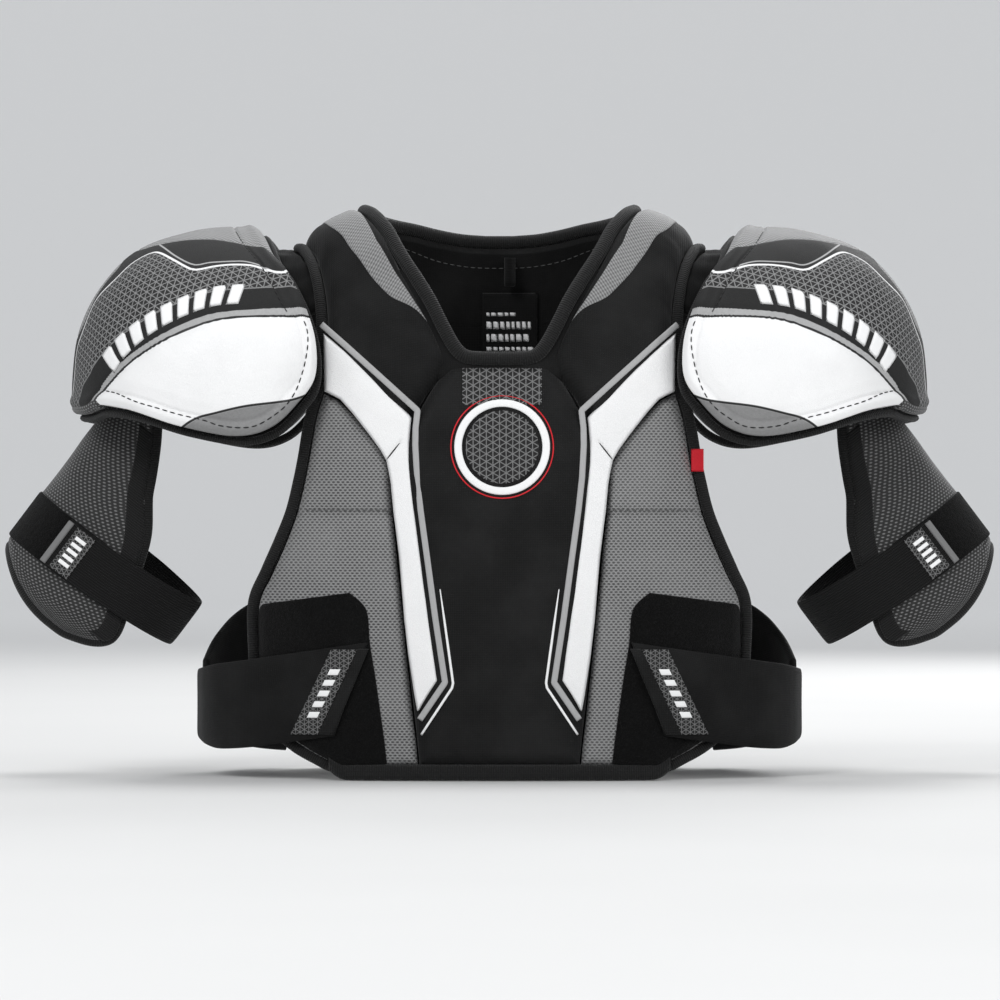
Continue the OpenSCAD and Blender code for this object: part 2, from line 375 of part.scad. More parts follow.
chest_liner();
chest_foam();
sternum_plate();
chest_cover();
chest_stripes();
chest_badge();
chest_side_foams();
left_chest_side_cover();
right_chest_side_cover();
belly_loop_patches();
left_yoke_foam();
right_yoke_foam();
yoke_plates();
left_yoke_cover();
right_yoke_cover();
yoke_wings();
neck_binding();
left_armhole_binding();
right_armhole_binding();
hem_bindings();
back_liner();
back_foam();
spine_plate();
back_cover();
left_back_side_pad();
right_back_side_pad();
left_back_wing();
right_back_wing();
hang_loop();
size_label();
side_tag();
left_cap_bridge();
right_cap_bridge();
left_cap_cover();
right_cap_cover();
left_cap_shell();
right_cap_shell();
left_cap_liner();
right_cap_liner();
left_cap_binding();
right_cap_binding();
left_arm_hanger();
right_arm_hanger();
left_arm_guard_pad();
right_arm_guard_pad();
left_arm_guard_plate();
right_arm_guard_plate();
left_arm_guard_cover();
right_arm_guard_cover();
left_arm_loop_patch();
right_arm_loop_patch();
left_arm_strap();
right_arm_strap();
left_arm_strap_label();
right_arm_strap_label();
left_belly_strap();
right_belly_strap();
left_belly_strap_label();
right_belly_strap_label();
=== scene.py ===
import bpy
import math
import numpy as np
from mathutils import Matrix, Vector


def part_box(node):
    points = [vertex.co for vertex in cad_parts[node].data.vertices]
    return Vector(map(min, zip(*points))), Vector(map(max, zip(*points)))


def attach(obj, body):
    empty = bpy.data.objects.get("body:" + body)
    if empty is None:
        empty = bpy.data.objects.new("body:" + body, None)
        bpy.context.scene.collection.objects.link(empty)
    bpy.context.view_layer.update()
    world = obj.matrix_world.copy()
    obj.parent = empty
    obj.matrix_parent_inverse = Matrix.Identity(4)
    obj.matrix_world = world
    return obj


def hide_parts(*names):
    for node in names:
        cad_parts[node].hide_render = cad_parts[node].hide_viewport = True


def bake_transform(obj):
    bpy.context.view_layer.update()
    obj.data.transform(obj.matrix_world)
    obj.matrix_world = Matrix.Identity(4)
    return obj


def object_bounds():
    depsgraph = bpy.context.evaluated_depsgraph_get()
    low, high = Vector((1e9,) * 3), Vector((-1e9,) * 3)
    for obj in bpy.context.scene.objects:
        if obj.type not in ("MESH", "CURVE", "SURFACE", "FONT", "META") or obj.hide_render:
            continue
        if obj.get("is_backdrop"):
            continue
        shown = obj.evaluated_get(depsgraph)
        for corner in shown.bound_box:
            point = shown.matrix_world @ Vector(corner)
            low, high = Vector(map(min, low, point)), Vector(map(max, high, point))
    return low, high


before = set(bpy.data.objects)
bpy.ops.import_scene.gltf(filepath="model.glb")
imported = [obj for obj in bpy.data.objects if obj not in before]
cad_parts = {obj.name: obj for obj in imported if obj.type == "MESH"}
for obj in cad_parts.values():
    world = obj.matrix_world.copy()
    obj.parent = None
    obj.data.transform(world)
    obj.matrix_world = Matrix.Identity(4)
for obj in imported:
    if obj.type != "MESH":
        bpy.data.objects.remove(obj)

CAD_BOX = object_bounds()

# ------------------------------------------------------------------ surfaces (millimetres)
TW, TD, SZ, AQ = 185.0, 104.0, 387.0, 3.6


def A_(v):
    return np.asarray(v, float)


def sx(x):
    return np.maximum(1 - (np.abs(x) / TW) ** 2.5, 0) ** 0.4


def top_z(x):
    return SZ - 0.003677 * np.abs(x) ** 1.9


def taper(z):
    return 1 - 0.07 * (np.maximum(0, (230 - z) / 230)) ** 2


def depth(x, z):
    return TD * sx(x) * taper(z)


def wall(x, z, o, side):
    x, z, o = np.broadcast_arrays(A_(x), A_(z), A_(o))
    y = side * (depth(x, z) + o) * np.maximum(1 - np.clip(z / (top_z(x) + o), 0, 1) ** AQ, 0) ** (1 / AQ)
    return np.stack([x, y, z], -1)


def front(x, z, o):
    return wall(x, z, o, -1)


def back(x, z, o):
    return wall(x, z, o, 1)


def arch_raw(x, p, o):
    x, p, o = np.broadcast_arrays(A_(x), A_(p), A_(o))
    c, s = np.cos(np.radians(p)), np.sin(np.radians(p))
    return np.stack([x, -np.sign(c) * (depth(x, 230) + o) * np.abs(c) ** (2 / AQ),
                     (top_z(x) + o) * np.maximum(s, 0) ** (2 / AQ)], -1)


# arch length at x = 100, so that the arch can be flattened to millimetres
_pp = np.linspace(15, 165, 601)
_aq = arch_raw(90.0, _pp, 6.0)
_as = np.concatenate([[0], np.cumsum(np.linalg.norm(np.diff(_aq, axis=0), axis=1))])


def p2s(p):
    return np.interp(p, _pp, _as)


def s2p(s):
    return np.interp(s, _as, _pp)


def arch(x, s, o):
    return arch_raw(x, s2p(s), o)


CC = A_([172.0, 0, 252.0])
CA, CB, CH, CP = 112.0, 120.0, 112.0, 2.45


def unit(v):
    v = A_(v)
    return v / (np.linalg.norm(v, axis=-1, keepdims=True) + 1e-12)


def cap_p(u, t):
    u = A_(u)
    t = A_(t)
    k = ((np.abs(u[..., 0]) / (CA - t)) ** CP + (np.abs(u[..., 1]) / (CB - t)) ** CP
         + (np.abs(u[..., 2]) / (CH - t)) ** CP) ** (1 / CP)
    return CC + u / k[..., None]


def cap_u(x, z):
    a = (A_(x) - CC[0]) / 110
    c = (A_(z) - CC[2]) / 112
    y = -120 * np.maximum(1 - np.abs(a) ** CP - np.abs(c) ** CP, 0) ** (1 / CP)
    return unit(np.stack([a * 110, y, c * 112], -1))


LEAN = math.radians(37)
ARA = A_([math.sin(LEAN), 0, -math.cos(LEAN)])
ARN = A_([math.cos(LEAN), 0, math.sin(LEAN)])
ARO = A_([216.7, 0, 206])


def arm(s, w, o):
    s, w, o = np.broadcast_arrays(A_(s), A_(w), A_(o))
    cw, sw = np.cos(np.radians(w)), np.sin(np.radians(w))
    h = np.where(cw > 0, 51.0, 58.0) + o
    P = ARO + s[..., None] * ARA + (h * np.sign(cw) * np.abs(cw) ** 0.9)[..., None] * ARN
    P[..., 1] -= (36 + o) * np.sign(sw) * np.abs(sw) ** 0.9
    return P


# picture plane helper: a point of the front view, in a 1000 x 1000 grid, to x and z at depth y
def pic(pts, yfun):
    pts = A_(pts)
    y = np.full(len(pts), -80.0)
    for _ in range(6):
        k = 0.66 * (4000 + y) / 3940
        x = (499.5 - pts[:, 0]) * k
        z = 183.5 + (500 - pts[:, 1]) * k
        y = yfun(x, z)
    return np.stack([x, z], -1)


def pic_chest(pts, o=12.0):
    return pic(pts, lambda x, z: front(x, z, o)[..., 1])


def pic_cap(pts):
    def f(x, z):
        return cap_p(cap_u(x, z), 0.0)[..., 1]
    return pic(pts, f)


def pic_arch(pts, o=13.0):
    """front view points on the shoulder arch, to x and arch length"""
    out = []
    ss = np.linspace(p2s(17), p2s(100), 700)
    for px, py in pts:
        x = (499.5 - px) * 0.66
        for _ in range(5):
            P = arch(np.full_like(ss, x), ss, o)
            k = 0.66 * (4000 + P[:, 1]) / 3940
            zz = 183.5 + (500 - py) * k
            i = np.argmin(np.abs(P[:, 2] - zz) + 0.02 * np.arange(len(ss)) / len(ss))
            x = (499.5 - px) * k[i]
        out.append([x, ss[i]])
    return A_(out)


# ------------------------------------------------------------------ curve and field helpers
def cr(P, ts):
    P = A_(P)
    n = len(P)
    ts = A_(ts)
    i = np.clip(np.floor(ts).astype(int), 0, n - 2)
    f = (ts - i)[:, None]
    p0, p1, p2, p3 = P[np.maximum(i - 1, 0)], P[i], P[i + 1], P[np.minimum(i + 2, n - 1)]
    return 0.5 * (2 * p1 + (p2 - p0) * f + (2 * p0 - 5 * p1 + 4 * p2 - p3) * f ** 2 + (3 * p1 - p0 - 3 * p2 + p3) * f ** 3)


def lin(P, ts):
    P = A_(P)
    i = np.clip(np.floor(ts).astype(int), 0, len(P) - 2)
    f = (A_(ts) - i)[:, None]
    return P[i] * (1 - f) + P[i + 1] * f


def cum(P):
    return np.concatenate([[0], np.cumsum(np.linalg.norm(np.diff(P, axis=0), axis=1))])


def even(P, step=2.0, smooth=True, n=None):
    P = A_(P)
    ts = np.linspace(0, len(P) - 1, (len(P) - 1) * 16 + 1)
    Q = cr(P, ts) if smooth else lin(P, ts)
    L = cum(Q)
    n = n or max(3, int(round(L[-1] / step)) + 1)
    s = np.linspace(0, L[-1], n)
    return np.stack([np.interp(s, L, Q[:, k]) for k in range(P.shape[1])], -1)


def warp(n, k=0.8):
    x = np.linspace(0, 1, n)
    return x - k * np.sin(2 * np.pi * x) / (2 * np.pi)


def rows(A, B, n, k=0.8):
    """row parameters, even in length with a finer start and end"""
    m = max(len(A), len(B))
    ts = np.linspace(0, m - 1, 500)
    Q = (cr(A, ts) + cr(B, ts)) / 2
    L = cum(Q)
    return np.interp(warp(n, k) * L[-1], L, ts)


def dist_line(P, C, closed=False, chunk=6000):
    """distance, nearest segment and foot from points P to the polyline C, any dimension"""
    P, C = A_(P), A_(C)
    if closed:
        C = np.vstack([C, C[:1]])
    a, ab = C[:-1], np.diff(C, axis=0)
    l2 = (ab ** 2).sum(1) + 1e-12
    D, K, F = np.empty(len(P)), np.empty(len(P), int), np.empty(len(P))
    for i in range(0, len(P), chunk):
        q = P[i:i + chunk, None, :] - a[None]
        t = np.clip((q * ab[None]).sum(2) / l2, 0, 1)
        d = np.linalg.norm(q - t[..., None] * ab[None], axis=2)
        k = d.argmin(1)
        r = np.arange(len(k))
        D[i:i + chunk], K[i:i + chunk], F[i:i + chunk] = d[r, k], k, t[r, k]
    return D, K, F


def inside(P, poly):
    x, y = P[:, 0], P[:, 1]
    r = np.zeros(len(P), bool)
    n = len(poly)
    for i in range(n):
        x1, y1 = poly[i]
        x2, y2 = poly[(i + 1) % n]
        if y1 == y2:
            continue
        c = ((y1 > y) != (y2 > y)) & (x < (x2 - x1) * (y - y1) / (y2 - y1) + x1)
        r ^= c
    return r


def sd_poly(P, poly):
    """positive inside"""
    d = dist_line(P, poly, True)[0]
    return np.where(inside(P, poly), d, -d)


def sd3(P, C, N, pos):
    """signed distance on a surface from points P with normals N to the polyline C; pos is a point on its positive side"""
    d, k, _ = dist_line(P, C)
    ab = np.diff(C, axis=0)
    s = np.sign((np.cross(ab[k], P - C[k]) * N).sum(1))
    dp, kp, _ = dist_line(A_(pos)[None], C)
    near = np.argmin(np.linalg.norm(P - A_(pos), axis=1))
    sp = np.sign((np.cross(ab[kp], A_(pos)[None] - C[kp]) * N[near][None]).sum())
    return d * s * (sp or 1)


def wob(P, size, amp, seed, modes=26):
    """smooth seeded unevenness of about that wavelength, in mm"""
    g = np.random.default_rng(seed)
    d = g.normal(size=(modes, 3))
    d /= np.linalg.norm(d, axis=1, keepdims=True)
    k = 2 * np.pi / (size * g.uniform(0.6, 1.7, modes))
    ph = g.uniform(0, 2 * np.pi, modes)
    sh = P.shape[:-1]
    q = P.reshape(-1, 3) @ (d * k[:, None]).T + ph
    return (np.sin(q).sum(1) * amp * math.sqrt(2 / modes)).reshape(sh)


# ------------------------------------------------------------------ mesh making
ALL = []


def make(name, V, Fc, uv=None, mat=None, attrs=None, side=1, smooth=True):
    V = A_(V).copy()
    Fc = [list(map(int, f)) for f in Fc]
    if side < 0:
        V[:, 0] *= -1
        Fc = [f[::-1] for f in Fc]
    me = bpy.data.meshes.new(name)
    me.from_pydata((V * 0.001).tolist(), [], Fc)
    me.update()
    if uv is not None:
        lay = me.uv_layers.new(name="mm")
        li = np.zeros(len(me.loops), np.int32)
        me.loops.foreach_get("vertex_index", li)
        lay.data.foreach_set("uv", (A_(uv)[li] / 10).astype(np.float32).ravel())
    for k, a in (attrs or {}).items():
        at = me.attributes.new(k, "FLOAT", "POINT")
        at.data.foreach_set("value", A_(a).astype(np.float32))
    if smooth:
        me.polygons.foreach_set("use_smooth", [True] * len(me.polygons))
    o = bpy.data.objects.new(name, me)
    bpy.context.scene.collection.objects.link(o)
    if mat is not None:
        me.materials.append(mat)
    ALL.append(o)
    return o


def join(parts):
    """several (V, F, uv) into one"""
    V, Fc, U, n = [], [], [], 0
    for v, f, u in parts:
        V.append(A_(v))
        U.append(A_(u))
        Fc += [[int(i) + n for i in q] for q in f]
        n += len(v)
    return np.vstack(V), Fc, np.vstack(U)


def solid(outer, inner, uv, uvi=None, closed_i=False):
    """closed solid from two grids (n, m, 3) that share their border"""
    n, m = outer.shape[:2]
    V = [outer.reshape(-1, 3)]
    U = [uv.reshape(-1, 2)]
    idx = np.arange(n * m).reshape(n, m)
    inn = np.full((n, m), -1)
    inn[0], inn[-1], inn[:, 0], inn[:, -1] = idx[0], idx[-1], idx[:, 0], idx[:, -1]
    mask = inn < 0
    inn[mask] = n * m + np.arange(mask.sum())
    V.append(inner[mask])
    U.append((uvi if uvi is not None else uv)[mask])
    F1 = np.stack([idx[:-1, :-1], idx[:-1, 1:], idx[1:, 1:], idx[1:, :-1]], -1).reshape(-1, 4)
    F2 = np.stack([inn[:-1, :-1], inn[1:, :-1], inn[1:, 1:], inn[:-1, 1:]], -1).reshape(-1, 4)
    # corner faces of the two sides would fold onto each other: drop a face whose four corners are all border
    return np.vstack(V), [list(f) for f in F1] + [list(f) for f in F2 if len(set(f)) > 2], np.vstack(U)


def outward(V, Fc, ref):
    """flips the faces if they look away from outside; ref is a function giving the outward direction at points"""
    f = Fc[len(Fc) // 4]
    a, b, c = V[f[0]], V[f[1]], V[f[2]]
    n = np.cross(b - a, c - a)
    if (n * ref).sum() < 0:
        return [q[::-1] for q in Fc]
    return Fc


def height(ab, poly, T, r, crown, R, grooves=()):
    d = dist_line(ab, poly, True)[0]
    d = np.where(inside(ab, poly) | (d < 0.01), d, 0)
    h = T * np.sqrt(np.maximum(1 - (1 - np.clip(d / r, 0, 1)) ** 2, 0))
    h += crown * (1 - (1 - np.clip(d / R, 0, 1)) ** 2)
    for pl, dep, w in grooves:
        g = dist_line(ab, pl)[0]
        h -= np.minimum(dep * np.exp(-(g / w) ** 2), h * 0.85)
    return h


class Pad:
    """a padded panel on a surface F(a, b, o), ruled between two edge curves"""

    def __init__(s, F, A, B, nu, nv, o0, T, r, crown=1.5, R=30, grooves=(), wsize=45, wamp=0.35, seed=1, extra=None, kk=0.8, lo=None):
        s.F, s.o0, s.T, s.r, s.crown, s.R, s.grooves = F, o0, T, r, crown, R, grooves
        s.wsize, s.wamp, s.seed, s.extra = wsize, wamp, seed, extra
        A, B = A_(A), A_(B)
        tf = np.linspace(0, len(A) - 1, 240)
        a, b = cr(A, tf), cr(B, tf)
        s.poly = np.vstack([a, b[::-1]])
        t = rows(A, B, nu, kk)
        v = warp(nv, kk)[None, :, None]
        s.G = cr(A, t)[:, None] * (1 - v) + cr(B, t)[:, None] * v
        s.lo = lo

    def o_at(s, ab):
        ab = A_(ab)
        sh = ab.shape[:-1]
        q = ab.reshape(-1, 2)
        h = height(q, s.poly, s.T, s.r, s.crown, s.R, s.grooves)
        P = s.F(q[:, 0], q[:, 1], s.o0 + h)
        k = np.clip(h / (s.T + 1e-9), 0, 1)
        h = h + wob(P, s.wsize, s.wamp, s.seed) * k
        if s.extra is not None:
            h = h + s.extra(q) * k
        return (s.o0 + np.maximum(h, 0)).reshape(sh)

    def build(s, name, mat, side=1, uvf=None, attrs=None, back_in=0.0):
        G = s.G
        o = s.o_at(G)
        outer = s.F(G[..., 0], G[..., 1], o)
        o_in = np.full(o.shape, s.o0 - back_in) if s.lo is None else s.lo(G)
        inner = s.F(G[..., 0], G[..., 1], o_in)
        uv = G.copy() if uvf is None else uvf(G)
        V, Fc, U = solid(outer, inner, uv)
        ref = s.F(G[..., 0], G[..., 1], np.full(o.shape, s.o0 + 5.0)) - s.F(G[..., 0], G[..., 1], np.full(o.shape, s.o0))
        i = len(Fc) // 4
        f = Fc[i]
        n = np.cross(V[f[1]] - V[f[0]], V[f[2]] - V[f[0]])
        if (n * ref.reshape(-1, 3)[f[0]]).sum() < 0:
            Fc = [q[::-1] for q in Fc]
        at = {}
        for k, fn in (attrs or {}).items():
            at[k] = fn(U)
        return make(name, V, Fc, U, mat, at, side)


def tube(P, r, k=14, closed=False, up=(0, 0, 1), flat=1.0, rib=0.0, pitch=1.6, taper_ends=True, twist=0.0):
    """sweeps an oval of radius r (side) and r * flat (up) along P; rib gives cross ribs"""
    P = A_(P)
    n = len(P)
    if closed:
        T = unit(np.roll(P, -1, 0) - np.roll(P, 1, 0))
    else:
        T = unit(np.gradient(P, axis=0))
    up = A_(up)
    if up.ndim == 1:
        up = np.broadcast_to(up, P.shape)
    Sd = unit(np.cross(T, up))
    Up = np.cross(Sd, T)
    L = cum(P)
    rr = np.full(n, float(r)) if np.isscalar(r) else A_(r).copy()
    if rib:
        rr = rr + rib * np.sin(2 * np.pi * L / pitch)
    if not closed and taper_ends:
        e = np.minimum(L, L[-1] - L)
        rr = rr * np.sqrt(np.clip(1 - (1 - np.clip(e / np.max(rr), 0, 1)) ** 2, 0.02, 1))
    ang = np.linspace(0, 2 * np.pi, k, endpoint=False) + twist
    V = P[:, None] + rr[:, None, None] * (np.cos(ang)[None, :, None] * Sd[:, None] + flat * np.sin(ang)[None, :, None] * Up[:, None])
    U = np.stack(np.broadcast_arrays(L[:, None], (ang * np.mean(rr))[None]), -1)
    idx = np.arange(n * k).reshape(n, k)
    a = idx if closed else idx[:-1]
    b = np.roll(idx, -1, 0) if closed else idx[1:]
    Fc = np.stack([a, np.roll(a, -1, 1), np.roll(b, -1, 1), b], -1).reshape(-1, 4).tolist()
    V, U = V.reshape(-1, 3), U.reshape(-1, 2)
    if not closed:
        Fc.append(list(range(k))[::-1])
        Fc.append([(n - 1) * k + j for j in range(k)])
    # outward test
    f = Fc[0]
    c = P[0]
    nn = np.cross(V[f[1]] - V[f[0]], V[f[2]] - V[f[0]])
    if (nn * (V[f[0]] - c)).sum() < 0:
        Fc = [q[::-1] for q in Fc]
    return V, Fc, U


def stitches(P, N, length=3.4, gap=1.8, r=0.42, lift=0.15):
    """a row of thread stitches along the 3D line P with surface normals N"""
    P, N = A_(P), A_(N)
    L = cum(P)
    step = length + gap
    n = int(L[-1] / step)
    parts = []
    for i in range(n):
        s = (i + 0.5) * step + np.linspace(-length / 2, length / 2, 5)
        Q = np.stack([np.interp(s, L, P[:, k]) for k in range(3)], -1)
        M = unit(np.stack([np.interp(s, L, N[:, k]) for k in range(3)], -1))
        Q = Q + M * (lift + 0.25 * r * np.cos(np.linspace(-1.4, 1.4, 5))[:, None])
        parts.append(tube(Q, r * A_([0.55, 0.95, 1, 0.95, 0.55]), k=6, up=M, taper_ends=False))
    return join(parts)


def ribbon(F, line2, width, th, ofun, step=1.5, lift=0.35, smooth=True, nacross=7, ends=True, round_=0.5):
    """a thin band of that width along a line on F's parameter plane, raised th over ofun"""
    Q = even(line2, step, smooth)
    T = unit(np.gradient(Q, axis=0))
    Nn = np.stack([-T[:, 1], T[:, 0]], -1)
    w = width if np.isscalar(width) else np.interp(np.linspace(0, 1, len(Q)), np.linspace(0, 1, len(width)), width)
    w = np.broadcast_to(A_(w), (len(Q),))
    t = np.sin(np.linspace(-np.pi / 2, np.pi / 2, nacross))
    G = Q[:, None] + (t[None, :] * w[:, None] / 2)[..., None] * Nn[:, None]
    o = ofun(G)
    prof = np.sqrt(np.maximum(1 - np.abs(t) ** 2, 0)) ** round_
    h = np.broadcast_to(prof[None], o.shape).copy()
    if ends:
        L = cum(Q)
        e = np.minimum(L, L[-1] - L)
        h *= np.clip(e / (step * 1.2), 0, 1)[:, None] ** 0.5
    outer = F(G[..., 0], G[..., 1], o + lift + th * h)
    inner = F(G[..., 0], G[..., 1], o + lift - 0.2)
    bord = np.zeros(o.shape, bool)
    L = cum(Q)
    uv = np.stack(np.broadcast_arrays(L[:, None], t[None, :] * w[:, None] / 2), -1)
    V, Fc, U = solid(outer, inner, uv)
    f = Fc[len(Fc) // 4]
    n = np.cross(V[f[1]] - V[f[0]], V[f[2]] - V[f[0]])
    ref = (outer - F(G[..., 0], G[..., 1], o - 3)).reshape(-1, 3)[f[0]]
    if (n * ref).sum() < 0:
        Fc = [q[::-1] for q in Fc]
    return V, Fc, U


def patch(F, A, B, nu, nv, ofun, th, lift=0.3, edge=1.4, crown=0.0, R=12, kk=0.85, smooth=True, uvf=None):
    """a thin panel between two edge curves, lying over ofun"""
    A, B = A_(A), A_(B)
    ev = cr if smooth else lin
    tf = np.linspace(0, len(A) - 1, 240)
    poly = np.vstack([ev(A, tf), ev(B, tf)[::-1]])
    t = rows(A, B, nu, kk)
    v = warp(nv, kk)[None, :, None]
    G = ev(A, t)[:, None] * (1 - v) + ev(B, t)[:, None] * v
    q = G.reshape(-1, 2)
    h = height(q, poly, th, edge, crown, R).reshape(G.shape[:2])
    o = ofun(G)
    outer = F(G[..., 0], G[..., 1], o + lift + h)
    inner = F(G[..., 0], G[..., 1], o + lift - 0.25)
    V, Fc, U = solid(outer, inner, G if uvf is None else uvf(G))
    f = Fc[len(Fc) // 4]
    n = np.cross(V[f[1]] - V[f[0]], V[f[2]] - V[f[0]])
    ref = (outer - F(G[..., 0], G[..., 1], o - 3)).reshape(-1, 3)[f[0]]
    if (n * ref).sum() < 0:
        Fc = [q2[::-1] for q2 in Fc]
    return V, Fc, U


def mir(c):
    c = A_(c).copy()
    c[:, 0] *= -1
    return c


# ------------------------------------------------------------------ materials
class Mat:
    def __init__(s, name, rough=0.8, spec=0.3, sheen=0.0, sheen_rough=0.5, metallic=0.0, coat=0.0):
        s.m = bpy.data.materials.new(name)
        s.m.use_nodes = True
        s.t = s.m.node_tree
        s.t.nodes.clear()
        s.out = s.t.nodes.new("ShaderNodeOutputMaterial")
        s.b = s.t.nodes.new("ShaderNodeBsdfPrincipled")
        s.t.links.new(s.b.outputs[0], s.out.inputs[0])
        s.b.inputs["Roughness"].default_value = rough
        s.b.inputs["Specular IOR Level"].default_value = spec
        s.b.inputs["Sheen Weight"].default_value = sheen
        s.b.inputs["Sheen Roughness"].default_value = sheen_rough
        s.b.inputs["Metallic"].default_value = metallic
        s.b.inputs["Coat Weight"].default_value = coat
        s._uv = None

    def new(s, t):
        return s.t.nodes.new(t)

    def put(s, sock, v):
        if isinstance(v, (int, float)):
            sock.default_value = v
        elif isinstance(v, (tuple, list)):
            sock.default_value = tuple(v) if len(v) == len(sock.default_value) else tuple(v) + (1,)
        else:
            s.t.links.new(v, sock)

    def op(s, o, a, b=None, c=None, clamp=False):
        n = s.new("ShaderNodeMath")
        n.operation = o
        n.use_clamp = clamp
        s.put(n.inputs[0], a)
        if b is not None:
            s.put(n.inputs[1], b)
        if c is not None:
            s.put(n.inputs[2], c)
        return n.outputs[0]

    def uv(s):
        if s._uv is None:
            n = s.new("ShaderNodeUVMap")
            n.uv_map = "mm"
            sc = s.new("ShaderNodeVectorMath")
            sc.operation = "SCALE"
            s.t.links.new(n.outputs[0], sc.inputs[0])
            sc.inputs[3].default_value = 10.0
            sp = s.new("ShaderNodeSeparateXYZ")
            s.t.links.new(sc.outputs[0], sp.inputs[0])
            s._uv = (sp.outputs[0], sp.outputs[1], sc.outputs[0])
        return s._uv

    def obj(s):
        n = s.new("ShaderNodeTexCoord")
        return n.outputs["Object"]

    def attr(s, name):
        n = s.new("ShaderNodeAttribute")
        n.attribute_name = name
        return n.outputs["Fac"]

    def noise(s, scale, detail=3, rough=0.5, vec=None):
        """scale in features per metre on object coordinates, or per millimetre-uv when vec is given"""
        n = s.new("ShaderNodeTexNoise")
        n.inputs["Scale"].default_value = scale
        n.inputs["Detail"].default_value = detail
        n.inputs["Roughness"].default_value = rough
        s.t.links.new(vec if vec is not None else s.obj(), n.inputs["Vector"])
        return n.outputs["Fac"]

    def mix(s, f, a, b):
        n = s.new("ShaderNodeMix")
        n.data_type = "RGBA"
        s.put(n.inputs[0], f)
        s.put(n.inputs[6], a)
        s.put(n.inputs[7], b)
        return n.outputs[2]

    def mixf(s, f, a, b):
        n = s.new("ShaderNodeMix")
        n.data_type = "FLOAT"
        s.put(n.inputs[0], f)
        s.put(n.inputs[2], a)
        s.put(n.inputs[3], b)
        return n.outputs[0]

    def ramp(s, f, lo, hi):
        n = s.new("ShaderNodeMapRange")
        n.interpolation_type = "SMOOTHSTEP"
        s.put(n.inputs[0], f)
        n.inputs[1].default_value = lo
        n.inputs[2].default_value = hi
        return n.outputs[0]

    def lines(s, coord, pitch, sharp=None):
        """0..1 wave, 1 on the lines, pitch in mm"""
        a = s.op("MULTIPLY", coord, 2 * math.pi / pitch)
        return s.op("MULTIPLY_ADD", s.op("COSINE", a), 0.5, 0.5)

    def tri(s, pitch, rot=0.0, lo=0.86, hi=0.97):
        u, v, _ = s.uv()
        out = None
        for k in range(3):
            a = rot + k * math.pi / 3
            c = s.op("ADD", s.op("MULTIPLY", u, math.cos(a)), s.op("MULTIPLY", v, math.sin(a)))
            l = s.lines(c, pitch)
            out = l if out is None else s.op("MAXIMUM", out, l)
        return s.ramp(out, lo, hi)

    def dots(s, pu, pv, size=0.5, soft=0.16, stag=True):
        """a staggered grid of round dots, 1 in a dot"""
        u, v, _ = s.uv()
        rv = s.op("DIVIDE", v, pv)
        row = s.op("FLOOR", rv)
        sh = s.op("MULTIPLY", s.op("MODULO", s.op("ABSOLUTE", row), 2.0), 0.5) if stag else 0.0
        fu = s.op("SUBTRACT", s.op("FRACT", s.op("ADD", s.op("DIVIDE", u, pu), sh)), 0.5)
        fv = s.op("SUBTRACT", s.op("FRACT", rv), 0.5)
        d = s.op("SQRT", s.op("ADD", s.op("MULTIPLY", fu, fu), s.op("MULTIPLY", fv, fv)))
        return s.op("SUBTRACT", 1.0, s.ramp(d, size / 2 - soft / 2, size / 2 + soft / 2))

    def bump(s, hts, dist=0.0004, strength=1.0):
        """hts: height socket"""
        n = s.new("ShaderNodeBump")
        n.inputs["Distance"].default_value = dist
        n.inputs["Strength"].default_value = strength
        s.t.links.new(hts, n.inputs["Height"])
        if s.b.inputs["Normal"].is_linked:
            s.t.links.new(s.b.inputs["Normal"].links[0].from_socket, n.inputs["Normal"])
        s.t.links.new(n.outputs[0], s.b.inputs["Normal"])

    def color(s, c):
        s.put(s.b.inputs["Base Color"], c)

    def rough(s, r):
        s.put(s.b.inputs["Roughness"], r)


def g_(v):
    """sRGB grey level 0..255 to a linear colour"""
    c = v / 255
    l = c / 12.92 if c <= 0.04045 else ((c + 0.055) / 1.055) ** 2.4
    return (l, l, l, 1)


def weave_parts(m, pitch, lo, hi):
    """plain weave colour and height"""
    u, v, _ = m.uv()
    a = m.lines(u, pitch)
    b = m.lines(v, pitch)
    w = m.op("MULTIPLY_ADD", m.op("SUBTRACT", a, b), 0.5, 0.5)
    n = m.noise(420, 2)
    w2 = m.op("ADD", m.op("MULTIPLY", w, 0.7), m.op("MULTIPLY", n, 0.3))
    return m.mix(w2, lo, hi), w2


def mat_black(name="black_weave", lo=6, hi=28, pitch=1.5, sheen=0.1, rough=0.82):
    m = Mat(name, rough=rough, spec=0.16, sheen=sheen, sheen_rough=0.4)
    col, w = weave_parts(m, pitch, g_(lo), g_(hi))
    big = m.noise(26, 4)
    col = m.mix(m.ramp(big, 0.35, 0.75), col, m.mix(0.45, col, g_(hi + 12)))
    m.color(col)
    m.bump(w, 0.00035, 0.7)
    m.bump(m.noise(90, 3), 0.0012, 0.25)
    return m.m


def mat_waffle():
    m = Mat("grey_waffle_mesh", rough=0.72, spec=0.3, sheen=0.3, sheen_rough=0.4)
    d = m.dots(3.1, 1.75, 0.62, 0.3)
    n = m.noise(700, 2)
    big = m.noise(22, 4)
    c = m.mix(d, g_(140), g_(60))
    c = m.mix(m.op("MULTIPLY", n, 0.28), c, g_(84))
    c = m.mix(m.op("MULTIPLY", m.ramp(big, 0.3, 0.8), 0.22), c, g_(150))
    m.color(c)
    m.bump(m.op("SUBTRACT", 1.0, d), 0.0006, 0.9)
    m.bump(n, 0.0002, 0.5)
    return m.m


